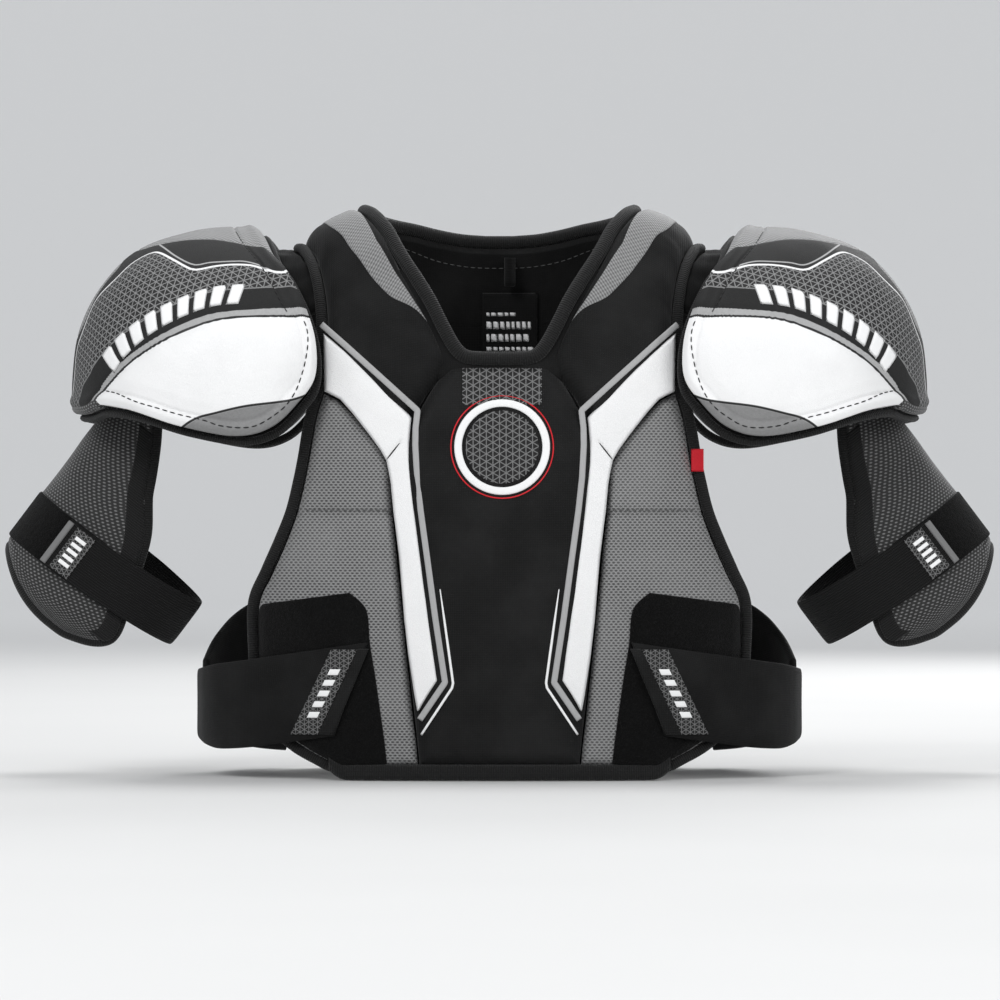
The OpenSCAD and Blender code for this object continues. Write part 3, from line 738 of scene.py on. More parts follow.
def mat_tri_black(name="tri_mesh", pitch=4.3, lo=26, hi=122):
    m = Mat(name, rough=0.7, spec=0.25)
    t = m.tri(pitch, 0.0, 0.88, 0.985)
    c = m.mix(t, g_(lo), g_(hi))
    c = m.mix(m.op("MULTIPLY", m.noise(500, 2), 0.3), c, g_(40))
    m.color(c)
    m.bump(t, 0.0004, 0.8)
    return m.m


def mat_knit(name="light_rib_knit", lo=70, hi=158, pitch=1.9, ang=0.6):
    m = Mat(name, rough=0.78, spec=0.25, sheen=0.3)
    u, v, _ = m.uv()
    c1 = m.op("ADD", m.op("MULTIPLY", u, math.cos(ang)), m.op("MULTIPLY", v, math.sin(ang)))
    c2 = m.op("ADD", m.op("MULTIPLY", u, -math.sin(ang)), m.op("MULTIPLY", v, math.cos(ang)))
    r = m.lines(c1, pitch)
    q = m.lines(c2, pitch * 1.3)
    h = m.op("ADD", m.op("MULTIPLY", r, 0.7), m.op("MULTIPLY", q, 0.3))
    n = m.noise(600, 2)
    h2 = m.op("ADD", m.op("MULTIPLY", h, 0.8), m.op("MULTIPLY", n, 0.2))
    m.color(m.mix(h2, g_(lo), g_(hi)))
    m.bump(h2, 0.0005, 0.8)
    return m.m


def mat_white(name="white_coated_leather", tone=238):
    m = Mat(name, rough=0.42, spec=0.45)
    n = m.noise(240, 4)
    v = m.new("ShaderNodeTexVoronoi")
    v.feature = "DISTANCE_TO_EDGE"
    v.inputs["Scale"].default_value = 900
    m.t.links.new(m.obj(), v.inputs["Vector"])
    gr = m.ramp(v.outputs[0], 0.0, 0.18)
    c = m.mix(m.ramp(m.noise(14, 5), 0.45, 0.85), g_(tone), g_(tone - 14))
    c = m.mix(m.op("MULTIPLY", m.op("SUBTRACT", 1.0, gr), 0.12), c, g_(tone - 60))
    m.color(c)
    m.rough(m.mixf(n, 0.34, 0.52))
    m.bump(gr, 0.00022, 0.5)
    m.bump(n, 0.0006, 0.22)
    return m.m


def mat_bind(name="ribbed_binding", lo=4, hi=30, pitch=1.5):
    m = Mat(name, rough=0.75, spec=0.2, sheen=0.1)
    u, v, _ = m.uv()
    r = m.lines(u, pitch)
    q = m.lines(v, 0.9)
    h = m.op("ADD", m.op("MULTIPLY", r, 0.75), m.op("MULTIPLY", q, 0.25))
    m.color(m.mix(h, g_(lo), g_(hi)))
    m.bump(h, 0.0005, 0.9)
    m.bump(m.noise(120, 3), 0.0009, 0.3)
    return m.m


def mat_loop():
    m = Mat("loop_pile", rough=0.97, spec=0.05, sheen=0.05, sheen_rough=0.6)
    n = m.noise(1100, 4, 0.7)
    k = m.noise(300, 4, 0.6)
    c = m.mix(m.ramp(n, 0.42, 0.72), g_(3), g_(22))
    c = m.mix(m.op("MULTIPLY", m.ramp(k, 0.5, 0.8), 0.35), c, g_(20))
    m.color(c)
    m.bump(n, 0.0009, 1.0)
    m.bump(k, 0.0014, 0.5)
    return m.m


def mat_web(name="elastic_web", pitch=1.6, lo=5, hi=30):
    m = Mat(name, rough=0.85, spec=0.14, sheen=0.08)
    u, v, _ = m.uv()
    r = m.lines(v, pitch)
    q = m.lines(u, 1.1)
    h = m.op("ADD", m.op("MULTIPLY", r, 0.7), m.op("MULTIPLY", q, 0.3))
    c = m.mix(h, g_(lo), g_(hi))
    c = m.mix(m.op("MULTIPLY", m.noise(60, 4), 0.35), c, g_(lo + 8))
    m.color(c)
    m.bump(h, 0.0005, 0.9)
    m.bump(m.noise(70, 3), 0.0012, 0.25)
    return m.m


def mat_flat(name, col, rough=0.6, grain=500, amp=0.15, spec=0.35, dist=0.0002):
    m = Mat(name, rough=rough, spec=spec)
    n = m.noise(grain, 3)
    c2 = tuple(max(0, x * (1 - amp)) for x in col[:3]) + (1,)
    m.color(m.mix(n, col, c2))
    m.bump(n, dist, 0.5)
    return m.m


def mat_plastic(name, tone):
    m = Mat(name, rough=0.38, spec=0.45)
    n = m.noise(180, 4)
    m.color(m.mix(n, g_(tone), g_(tone - 18)))
    m.rough(m.mixf(m.noise(60, 3), 0.3, 0.5))
    m.bump(m.noise(1200, 2), 0.0001, 0.4)
    return m.m


def mat_dotmesh():
    """dark spacer mesh with light dots"""
    m = Mat("dotted_spacer_mesh", rough=0.7, spec=0.3, sheen=0.2)
    d = m.dots(3.6, 2.05, 0.5, 0.22)
    n = m.noise(600, 2)
    base = m.mix(n, g_(26), g_(42))
    c = m.mix(d, base, g_(118))
    m.color(c)
    m.bump(m.op("SUBTRACT", m.op("MULTIPLY", n, 0.3), d), 0.0007, 0.8)
    return m.m


def mat_liner():
    m = Mat("liner_cloth", rough=0.9, spec=0.12, sheen=0.1)
    col, w = weave_parts(m, 1.8, g_(6), g_(24))
    m.color(col)
    m.bump(w, 0.0003, 0.6)
    return m.m


def mat_cap():
    """the cap cover: bands split by signed distances kept on the mesh"""
    m = Mat("cap_cover_panels", rough=0.5, spec=0.4)
    s1, s3, s4, s5, s6, s7, sh = [m.attr(k) for k in ("s1", "s3", "s4", "s5", "s6", "s7", "sh")]
    u, v, _ = m.uv()
    n_f = m.noise(600, 2)

    def step(x, t, w=0.22):
        return m.ramp(x, t - w, t + w)

    def band(x, a, b):
        return m.op("MULTIPLY", step(x, a), m.op("SUBTRACT", 1.0, step(x, b)))
    # white lobe
    leath = m.mix(m.ramp(m.noise(14, 5), 0.45, 0.85), g_(240), g_(226))
    # light rib knit, fine diagonal ribs
    ang = 0.62
    c1 = m.op("ADD", m.op("MULTIPLY", u, math.cos(ang)), m.op("MULTIPLY", v, math.sin(ang)))
    c2 = m.op("SUBTRACT", m.op("MULTIPLY", v, math.cos(ang)), m.op("MULTIPLY", u, math.sin(ang)))
    kh = m.op("ADD", m.op("MULTIPLY", m.lines(c1, 2.1), 0.65), m.op("MULTIPLY", m.lines(c2, 2.6), 0.35))
    knit = m.mix(m.op("ADD", m.op("MULTIPLY", kh, 0.8), m.op("MULTIPLY", n_f, 0.2)), g_(84), g_(172))
    tri = m.tri(4.3, 0.1, 0.88, 0.985)
    trim = m.mix(m.op("MULTIPLY", tri, 0.9), g_(30), g_(136))
    blk = m.mix(n_f, g_(14), g_(26))
    grey = m.mix(n_f, g_(158), g_(176))
    dgrey = m.mix(n_f, g_(120), g_(136))
    wht = m.mix(n_f, g_(232), g_(244))
    c = knit
    c = m.mix(m.op("SUBTRACT", 1.0, step(s7, 0.0)), c, blk)
    c = m.mix(band(s6, -0.6, 0.6), c, grey)
    c = m.mix(m.op("SUBTRACT", 1.0, step(s4, 0.0)), c, trim)
    c = m.mix(band(s4, -0.85, 0.85), c, wht)
    c = m.mix(m.op("SUBTRACT", 1.0, step(s3, 15.0)), c, blk)
    c = m.mix(band(s3, 15.0, 15.9), c, dgrey)
    c = m.mix(m.op("SUBTRACT", 1.0, step(s3, 0.0)), c, grey)
    c = m.mix(m.op("SUBTRACT", 1.0, step(s1, 0.9)), c, blk)
    c = m.mix(m.op("SUBTRACT", 1.0, step(s1, -0.7)), c, leath)
    c = m.mix(band(s5, -0.8, 0.8), c, blk)
    c = m.mix(m.op("SUBTRACT", 1.0, step(s5, -0.8)), c, dgrey)
    m.color(c)
    soft = m.op("MULTIPLY", step(s1, 0.9), 1.0)
    m.rough(m.mixf(soft, 0.4, 0.74))
    fab = m.op("MULTIPLY", step(s7, 0.0), kh)
    trh = m.op("MULTIPLY", m.op("MULTIPLY", step(s3, 15.0), m.op("SUBTRACT", 1.0, step(s4, 0.0))), tri)
    m.bump(m.op("ADD", fab, trh), 0.0005, 0.7)
    vz = m.new("ShaderNodeTexVoronoi")
    vz.feature = "DISTANCE_TO_EDGE"
    vz.inputs["Scale"].default_value = 900
    m.t.links.new(m.obj(), vz.inputs["Vector"])
    m.bump(m.ramp(vz.outputs[0], 0.0, 0.18), 0.0002, 0.4)
    m.bump(m.noise(240, 4), 0.0006, 0.2)
    return m.m


M = {}
M["black"] = mat_black()
M["black2"] = mat_black("black_fine_cloth", 5, 24, 1.2, 0.08, 0.86)
M["waffle"] = mat_waffle()
M["tri"] = mat_tri_black()
M["knit"] = mat_knit()
M["white"] = mat_white()
M["bind"] = mat_bind()
M["loop"] = mat_loop()
M["web"] = mat_web()
M["liner"] = mat_liner()
M["dotmesh"] = mat_dotmesh()
M["cap"] = mat_cap()
M["plastic"] = mat_plastic("moulded_plastic", 206)
M["plastic_dark"] = mat_plastic("dark_plastic", 52)
M["grey"] = mat_flat("light_grey_piping", g_(168), 0.55, 700, 0.12)
M["dgrey"] = mat_flat("mid_grey_tape", g_(118), 0.7, 700, 0.2)
M["print"] = mat_flat("white_print", g_(240), 0.5, 600, 0.05)
M["red"] = mat_flat("red_print", (0.62, 0.012, 0.02, 1), 0.5, 600, 0.1)
M["redtape"] = mat_flat("red_tape", (0.62, 0.012, 0.025, 1), 0.55, 900, 0.25)
# dark thread for the stitching; the same material also paints the shade in the white band's crease
M["thread"] = mat_flat("dark_thread_and_crease_shade", g_(30), 0.6, 900, 0.3)
M["threadg"] = mat_flat("grey_thread", g_(90), 0.6, 900, 0.3)
M["label"] = mat_tri_black("label_mesh", 2.9, 22, 118)

# ------------------------------------------------------------------ outlines
CENTRE = A_([[52.4, 10], [54, 28], [57.4, 59], [61.6, 100], [66.2, 147], [68.8, 175], [73.2, 206], [63, 223], [53, 240], [44.5, 255], [37, 265.5], [31, 271]])
STRIPE_OUT = A_([[54, 44], [57.5, 62], [61.5, 100], [66, 147], [68.6, 175], [72, 204], [58, 226]])
STRIPE_IN = A_([[52, 41], [40, 64], [44.5, 100], [51, 147], [54, 175], [57.6, 206], [57, 224]])
SIDE_IN = A_([[53.2, 10], [54.4, 24], [56.4, 40], [58.4, 60], [61, 85], [63.8, 115], [66, 135], [67.8, 155], [69.8, 175], [71, 193], [72, 206], [81, 221.5], [93, 235.5], [106, 249]])
SIDE_OUT = A_([[104, 7.5], [128, 20.5], [149, 37.5], [156, 60], [158, 85], [158, 115], [149, 135], [140, 155], [132.5, 175], [127.5, 195], [124.5, 210], [122, 225], [119, 240], [115, 253]])
LINER = A_([[95, 3], [125, 16.8], [147.5, 33], [156, 58], [159, 85], [159, 116], [150, 136], [141, 156], [133, 177], [128, 197], [124, 215], [119, 240], [104, 256], [62, 266], [35, 268]])
BACK_LINER = A_([[95, 3], [125, 16.8], [147.5, 33], [156, 58], [159, 85], [159, 116], [150, 136], [141, 156], [133, 177], [128, 197], [124, 215], [118, 243], [115.5, 262], [111.5, 282], [80, 296], [74, 312], [62, 348]])
BACK_C = A_([[60, 10], [58, 100], [57, 200], [58, 280], [58, 320], [57, 344], [50, 352]])
BACK_IN = A_([[61, 10], [60.6, 24], [60.2, 40], [59.6, 60], [59, 90], [58.8, 115], [58.6, 135], [58.4, 155], [58.2, 180], [58.4, 210], [58.8, 240], [60.5, 275]])
BACK_OUT = A_([[104, 7.5], [128, 20.5], [149, 37.5], [156, 60], [158, 90], [158, 115], [149, 135], [140, 155], [131.5, 180], [125, 210], [119, 240], [112.5, 260]])
YOKE = A_([[20.3, 73, 75], [22.5, 65, 79.5], [25, 57, 87.5], [28, 48, 98], [31.3, 36, 108.5], [35, 40, 112.5], [40, 50, 112.5], [47.4, 63.5, 113],
           [52, 71.5, 114], [58, 78.8, 116], [64, 84, 118.5], [70, 89.5, 121], [77, 95, 125], [84, 99, 129], [90, 100.5, 130], [97, 98.5, 129],
           [105, 90, 125], [112, 78, 121], [117, 67, 118], [122, 62, 116], [132, 61.5, 114], [145, 60.5, 113]])
NECK = A_([[31.6, 0], [31.7, 12], [32.2, 23], [34, 30.5], [38, 40], [42.5, 48.5], [47.6, 58], [53, 67], [58.2, 73.3], [64, 78.5], [70, 84], [77, 89.5], [84, 93.5], [90, 94.5], [97, 92], [104, 83.5], [110, 72], [114.8, 57], [118.6, 42], [121.2, 26], [122.4, 10]])
SHIFT = A_([[31, 0], [34, -0.6], [38, -2], [44, -3.6], [53, -4.8], [64, -5.2], [78, -5], [88, -4.2], [97, -2.2], [106, 0]])
NECK[:, 1] += np.interp(NECK[:, 0], SHIFT[:, 0], SHIFT[:, 1])
YOKE[:, 1] += np.interp(YOKE[:, 0], SHIFT[:, 0], SHIFT[:, 1]) + np.interp(YOKE[:, 0], [44, 55, 88, 98], [0, -2.6, -2.6, 0])
ARM_F = A_([[118, 12.6], [135.5, 22.4], [153.3, 38.6], [160.2, 60], [162.3, 85], [162.3, 116], [153.6, 137], [144.6, 157], [137, 176], [132, 196], [128.8, 212], [126.2, 228], [123, 243], [119, 256]])
ARM_TOP = A_([[38, 116.8], [47, 117.2], [56, 119.6], [66, 124], [77, 129.4], [84, 133.4], [90, 134.4], [97, 133.4], [107, 128.6], [118, 122.4], [130, 118.8], [142, 117.4]])
ARM_B = A_([[118, 12.6], [135.5, 22.4], [153.3, 38.6], [160.2, 60], [162.3, 85], [162.3, 116], [153.6, 137], [144.6, 157], [136, 180], [129.6, 210], [123.6, 240], [118.4, 262]])
BRIDGE = A_([[50, 122.5, 126.4], [58, 125.5, 134.6], [66, 130, 142], [74, 135, 147.4], [82, 139, 150.6], [90, 140, 153.2], [98, 139, 150.6], [106, 135, 147.4], [114, 130, 142], [122, 125.5, 134.6], [130, 122.5, 126.4]])
RIM = A_([[162, 364], [151.5, 350], [139, 333], [126.5, 309], [120, 286], [120.5, 263], [131, 247], [148, 231], [171, 225], [206, 231], [240, 242], [262, 246], [273, 243]])
GUARD = A_([[-24, 58, -18], [-12, 68, -36], [0, 76, -52], [15, 84, -68], [31, 91, -82], [47, 100, -95], [63, 106, -100], [79, 111, -101], [95, 117, -101], [110, 122, -100], [118, 121, -97], [125, 112, -88], [131, 96, -74]])
LOOP_IN = A_([[73.5, 11], [75, 25], [77, 40], [81, 68], [84.5, 90], [87, 112], [98, 123]])
LOOP_OUT = A_([[103.5, 9], [127.5, 22], [148, 38.5], [157.6, 64], [158.4, 90], [158, 112], [150, 116]])
WING = A_([[148, 92.5, 12, 120], [158, 86, 13, 118], [168, 77, 14.5, 115], [177, 66, 17, 110], [185, 53, 20, 103], [191.5, 39, 23, 95], [196.5, 25, 27, 86], [200, 10, 32, 77]])
BELLY_W = A_([[108, 86], [119, 96], [130, 110], [141, 126], [150, 142]])
BELLY_FREE = A_([[162.4, -77.9], [176, -66.5], [188, -51.5], [196.5, -34], [201, -16], [202.5, -5], [202.6, 1.4]])
STRAP_W = A_([[62, 86], [71, 86], [80, 85.8], [89, 85.4], [98, 85]])
STRAP_FREE = A_([[-24, -48.5, 84], [-38, -44.5, 83], [-52, -35, 82], [-63, -21, 81], [-69, -4, 80], [-67, 12, 79], [-59, 26, 78], [-46, 36.5, 77], [-31, 41.3, 76], [-17, 42.2, 75.5]])

SIDES = (("left", 1), ("right", -1))


def finish_piece(o, body, reps=()):
    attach(o, body)
    if reps:
        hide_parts(*reps)
    return o


# ------------------------------------------------------------------ chest
T_C, T_S = 12.4, 9.1
chest_seams = []
chest = Pad(front, mir(CENTRE), CENTRE, 150, 120, 1.2, 11.6, 9.0, crown=1.6, R=60, wsize=60, wamp=0.35, seed=3, kk=0.5)
o = chest.build("chest_centre_pad", M["black"])
finish_piece(o, "torso", ("chest_foam", "chest_cover"))

seam_z = 175.0
side_pads = {}
for sd, m in SIDES:
    seam = even(A_([[60, seam_z], [140, seam_z]]), 3, False)
    P = Pad(front, SIDE_IN, SIDE_OUT, 170, 84, 1.2, 8.3, 6.0, crown=1.8, R=34, wsize=38, wamp=0.45, seed=11 if m > 0 else 12,
            grooves=[(seam, 3.4, 1.5)])
    side_pads[sd] = P
    reps = [f"{sd}_chest_side_cover"] + (["chest_side_foams"] if m > 0 else [])
    finish_piece(P.build(f"{sd}_chest_side_pad", M["waffle"], m), "torso", reps)
    # the seam's own thread, and top stitching
    for k, (dz, mt) in enumerate(((1.9, "threadg"),)):
        ln = even(A_([[73, seam_z + dz], [129, seam_z + dz]]), 2, False)
        oo = P.o_at(ln)
        q = front(ln[:, 0], ln[:, 1], oo)
        nn = unit(front(ln[:, 0], ln[:, 1], oo + 1) - q)
        V, Fc, U = stitches(q, nn, 3.0, 1.4, 0.3)
        finish_piece(make(f"{sd}_chest_seam_stitch", V, Fc, U, M[mt], side=m), "torso")
    V, Fc, U = ribbon(front, A_([[71.5, seam_z], [130.5, seam_z]]), 1.3, 0.25, P.o_at, 1.5, 0.1, smooth=False, nacross=5)
    finish_piece(make(f"{sd}_chest_seam_line", V, Fc, U, M["black2"], side=m), "torso")
    pin = pic_chest([(440, 589), (445, 625), (453, 683), (452, 688), (448, 694), (421, 735)], 13)
    V, Fc, U = ribbon(front, pin, [0.7, 1.5, 1.7, 1.7, 1.7, 1.5], 0.45, chest.o_at, 1.0, 0.55, smooth=False, nacross=5)
    finish_piece(make(f"{sd}_chest_pinstripe", V, Fc, U, M["print"], side=m), "torso")
    # loop patches
    V, Fc, U = patch(front, LOOP_IN, LOOP_OUT, 90, 60, P.o_at, 1.3, 0.45, 1.4)
    reps = ["belly_loop_patches"] if m > 0 else []
    finish_piece(make(f"{sd}_belly_loop_patch", V, Fc, U, M["loop"], side=m), "torso", reps)

# mesh block under the neck
blk = pic_chest([(464, 367), (464, 405)], 13)
V, Fc, U = patch(front, A_([[-24.3, blk[1, 1]], [-24.3, 270.0]]), A_([[27.6, blk[1, 1]], [27.6, 270.0]]), 60, 70, chest.o_at, 0.4, 0.25, 1.0)
finish_piece(make("chest_mesh_block", V, Fc, U, M["tri"]), "torso")


# round badge: thin red ring, white ring and mesh disc
def ring(r0, r1, th, lift, n=160, m=8, cx=1.7, cz=218.7):
    a = np.linspace(0, 2 * np.pi, n, endpoint=False)
    t = np.sin(np.linspace(-np.pi / 2, np.pi / 2, m))
    rr = (r0 + r1) / 2 + t * (r1 - r0) / 2
    X = cx + rr[None] * np.cos(a)[:, None]
    Z = cz + rr[None] * np.sin(a)[:, None]
    ab = np.stack([X, Z], -1)
    o = chest.o_at(ab)
    pr = np.sqrt(np.maximum(1 - t ** 2, 0)) ** 0.5
    top = front(X, Z, o + lift + th * pr[None])
    bot = front(X, Z, o + lift - 0.3)
    V = np.vstack([top.reshape(-1, 3), bot.reshape(-1, 3)])
    U = np.vstack([ab.reshape(-1, 2)] * 2)
    idx = np.arange(n * m).reshape(n, m)
    nx = np.roll(idx, -1, 0)
    F1 = np.stack([idx[:, :-1], nx[:, :-1], nx[:, 1:], idx[:, 1:]], -1).reshape(-1, 4)
    N = n * m
    F2 = F1[:, ::-1] + N
    e0 = np.stack([idx[:, 0], idx[:, 0] + N, nx[:, 0] + N, nx[:, 0]], -1)
    e1 = np.stack([idx[:, -1], nx[:, -1], nx[:, -1] + N, idx[:, -1] + N], -1)
    Fc = np.vstack([F1, F2, e0, e1]).tolist()
    f = Fc[0]
    nn = np.cross(V[f[1]] - V[f[0]], V[f[2]] - V[f[0]])
    if nn[1] > 0:
        Fc = [q[::-1] for q in Fc]
    return V, Fc, U


BZ = 218.0
V, Fc, U = ring(32.9, 33.8, 0.5, 0.2, m=5, cz=BZ)
finish_piece(make("chest_badge_red_ring", V, Fc, U, M["red"]), "torso")
V, Fc, U = ring(26.2, 31.2, 0.9, 0.25, cz=BZ)
finish_piece(make("chest_badge_white_ring", V, Fc, U, M["print"]), "torso", ("chest_badge",))
V, Fc, U = ring(0.4, 23.8, 0.35, 0.2, m=14, cz=BZ)
finish_piece(make("chest_badge_disc", V, Fc, U, M["tri"]), "torso")

# ------------------------------------------------------------------ shoulder yokes
YA = np.stack([YOKE[:, 1], p2s(YOKE[:, 0])], -1)
YB = np.stack([YOKE[:, 2], p2s(YOKE[:, 0])], -1)
crease = pic_arch([(455, 366), (430, 400), (418, 415)], 13)
crease2 = pic_arch([(386, 461), (398, 444)], 13)


def yoke_folds(seed):
    def f(q):
        x, s = q[:, 0], q[:, 1]
        edge = np.exp(-((np.interp(s, YB[:, 1], YB[:, 0]) - x) / 16) ** 2)
        ph = wob(np.stack([x, s, s * 0], -1), 60, 1.2, seed)
        rip = 0.8 * np.sin(s / 7.5 + ph) + 0.5 * np.sin(s / 4.1 + 2 * ph)
        zone = np.exp(-((s - p2s(52)) / 55) ** 2)
        return 0.75 * rip * edge * zone
    return f


yokes = {}
for sd, m in SIDES:
    P = Pad(arch, YA, YB, 260, 70, 1.2, 11.0, 9.0, crown=1.6, R=30, wsize=42, wamp=0.4, seed=21 if m > 0 else 22,
            grooves=[(crease, 2.5, 2.2)], extra=yoke_folds(31 if m > 0 else 32), kk=0.7)
    yokes[sd] = P
    finish_piece(P.build(f"{sd}_yoke_pad", M["black"], m), "torso",
                 [f"{sd}_yoke_foam", f"{sd}_yoke_cover"])
    # light knit insert over the shoulder
    k_out = [(343, 236), (350, 247), (357, 257), (370, 275), (384, 290), (393, 297), (406, 303), (418, 308), (427, 314)]
    k_in = [(374.5, 236), (379.5, 245), (385.5, 254.5), (395.5, 270), (404.5, 283), (410, 291), (416.5, 300), (422, 307), (427, 314)]
    ka, kb = pic_arch(k_in, 14), pic_arch(k_out, 14)
    top_s = p2s(90)
    back_s = p2s(118)
    KA = np.vstack([ka[::-1], [[91.5, p2s(78)], [94, top_s + 4], [93, back_s - 18], [78, back_s]]])
    KB = np.vstack([kb[::-1], [[114.5, p2s(78)], [119, top_s + 4], [112, back_s - 18], [82, back_s]]])
    V, Fc, U = patch(arch, KA, KB, 150, 24, P.o_at, 0.5, 0.2, 1.2)
    finish_piece(make(f"{sd}_yoke_knit_insert", V, Fc, U, M["knit"], side=m), "torso")

def torso_o(sd):
    def f(G):
        G = A_(G)
        q = G.reshape(-1, 2)
        sn = np.clip(q[:, 1] / (top_z(q[:, 0]) + 13.0), 0, 1) ** (AQ / 2)
        s = p2s(np.degrees(np.arcsin(sn)))
        o = np.maximum(chest.o_at(q), yokes[sd].o_at(np.stack([q[:, 0], s], -1)))
        return np.maximum(o, 12.4).reshape(G.shape[:-1])
    return f


band_out = pic_chest([(324, 391), (340, 399.5), (352, 413), (370, 436), (380, 450), (384, 457), (386, 461), (388.5, 472), (390.5, 484), (391.8, 498), (393, 511), (399, 558), (404, 620), (408, 655), (411, 675), (414, 695), (417.2, 712)], 14)
band_in = pic_chest([(323, 333), (345, 351), (365, 370), (385, 390.5), (399, 404.5), (411.5, 417), (410.5, 428), (409.3, 442), (410, 462), (411.8, 482), (414, 503), (421, 556), (429.5, 618), (434.5, 655), (438, 681), (430, 693), (418.5, 711.5)], 14)
fold_line = even(pic_chest([(385, 461.5), (400, 442.5)], 14), 1.0, False)
grey_line = pic_chest([(321, 324), (345, 345), (380, 376.5), (417.5, 410.5), (415.5, 428), (415.2, 445), (417, 478), (420.5, 510), (427.4, 560), (435.5, 620), (445, 682.5), (419.5, 720)], 14)
for sd, m in SIDES:
    tf = np.linspace(0, len(band_out) - 1, 400)
    BP_ = Pad(front, band_in, band_out, 240, 30, 8.4, 6.2, 1.9, crown=0.55, R=9, grooves=[(fold_line, 1.3, 1.0)], wsize=26, wamp=0.16, seed=24 if m > 0 else 25, kk=0.6)
    BP_.poly = np.vstack([lin(band_in, tf), lin(band_out, tf)[::-1]])
    tr = rows(band_in, band_out, 240, 0.4)
    vv = warp(30, 0.75)[None, :, None]
    BP_.G = lin(band_in, tr)[:, None] * (1 - vv) + lin(band_out, tr)[:, None] * vv
    reps = ["yoke_wings", "chest_stripes"] if m > 0 else []
    finish_piece(BP_.build(f"{sd}_white_band", M["white"], m), "torso", reps)
    # a thin dark strip along the fold line: painted shade in the crease, laid over the groove cut into the band
    V, Fc, U = ribbon(front, fold_line, [0.5, 0.9, 0.9, 0.5], 0.2, BP_.o_at, 1.0, 0.12, smooth=False, nacross=5)
    finish_piece(make(f"{sd}_white_band_crease_painted_shade", V, Fc, U, M["thread"], side=m), "torso")
    V, Fc, U = ribbon(front, grey_line, 4.1, 0.7, torso_o(sd), 1.0, 0.35, smooth=False, round_=0.7)
    finish_piece(make(f"{sd}_grey_piping", V, Fc, U, M["grey"], side=m), "torso")

# collar bands between the neck binding and the pads
tt_ = [(-92, 97), (-83.5, 104), (-72, 110), (-57, 114.8), (-42, 118.6), (-26, 121.2), (-10, 122.4)]
bb_ = [(-101, 99), (-96, 110), (-84, 120), (-68, 129), (-50, 136), (-30, 139), (-10, 140)]
CA_ = A_([[x, p2s(p)] for x, p in tt_] + [[-x, p2s(p)] for x, p in tt_[::-1]])
CB_ = A_([[x, p2s(p)] for x, p in bb_] + [[-x, p2s(p)] for x, p in bb_[::-1]])
col = Pad(arch, CA_, CB_, 150, 36, -0.7, 7.8, 5.0, crown=0.8, R=14, wsize=30, wamp=0.3, seed=26, kk=0.5)
finish_piece(col.build("back_collar", M["black2"]), "torso", ())
ln = even(A_([[x * (1 - 0.2) + x2 * 0.2, p2s(p) * 0.8 + p2s(p2) * 0.2] for (x, p), (x2, p2) in zip(tt_[1:] + [(-a, b_) for a, b_ in tt_[::-1]][:-1], bb_[1:] + [(-a, b_) for a, b_ in bb_[::-1]][:-1])]), 1.5)
qq = arch(ln[:, 0], ln[:, 1], -0.75)
V, Fc, U = stitches(qq, unit(arch(ln[:, 0], ln[:, 1], -3.0) - qq), 3.2, 1.6, 0.32, 0.05)
finish_piece(make("back_collar_stitch", V, Fc, U, M["threadg"]), "torso")
tf_ = [(-63, 53), (-54.5, 47.6), (-46, 42.5), (-38.5, 38), (-30, 34), (-23, 32.2), (-12, 31.7)]
bf_ = [(-76, 50), (-68, 44), (-59, 38), (-50, 33), (-40, 29.5), (-28, 28), (-12, 27.5)]
CA_ = A_([[x, p2s(p)] for x, p in tf_] + [[-x, p2s(p)] for x, p in tf_[::-1]])
CB_ = A_([[x, p2s(p)] for x, p in bf_] + [[-x, p2s(p)] for x, p in bf_[::-1]])
col = Pad(arch, CA_, CB_, 110, 24, -0.7, 8.2, 4.0, crown=0.5, R=12, wsize=30, wamp=0.2, seed=27, kk=0.5)
finish_piece(col.build("front_collar", M["black2"]), "torso", ())

# ------------------------------------------------------------------ bindings
half = np.stack([NECK[:, 1], p2s(NECK[:, 0])], -1)
hh = even(half, 3.0)
NP = arch(hh[:, 0], hh[:, 1], 8.0)
full = np.vstack([NP, (NP[::-1] * A_([-1, 1, 1]))[:-1]])
V, Fc, U = tube(even(np.vstack([full, full[:1]]), 1.0, False)[:-1], 4.6, 16, True, (0, 0.3, 1), 1.0)
finish_piece(make("neck_binding", V, Fc, U, M["bind"]), "torso", ("neck_binding",))
for sd, m in SIDES:
    e0 = A_([[104, 8.0], [111, 9.2]])
    P = np.vstack([front(e0[:, 0], e0[:, 1], 5.2), front(ARM_F[:, 0], ARM_F[:, 1], 5.0), arch_raw(ARM_TOP[:, 1], ARM_TOP[:, 0], 5.0), back(ARM_B[::-1, 0], ARM_B[::-1, 1], 5.0), back(e0[::-1, 0], e0[::-1, 1], 5.2)])
    Q = even(P, 1.2)
    V, Fc, U = tube(Q, 3.5, 12, False, (1, 0, 0.1))
    finish_piece(make(f"{sd}_armhole_binding", V, Fc, U, M["bind"], side=m), "torso", (f"{sd}_armhole_binding",))


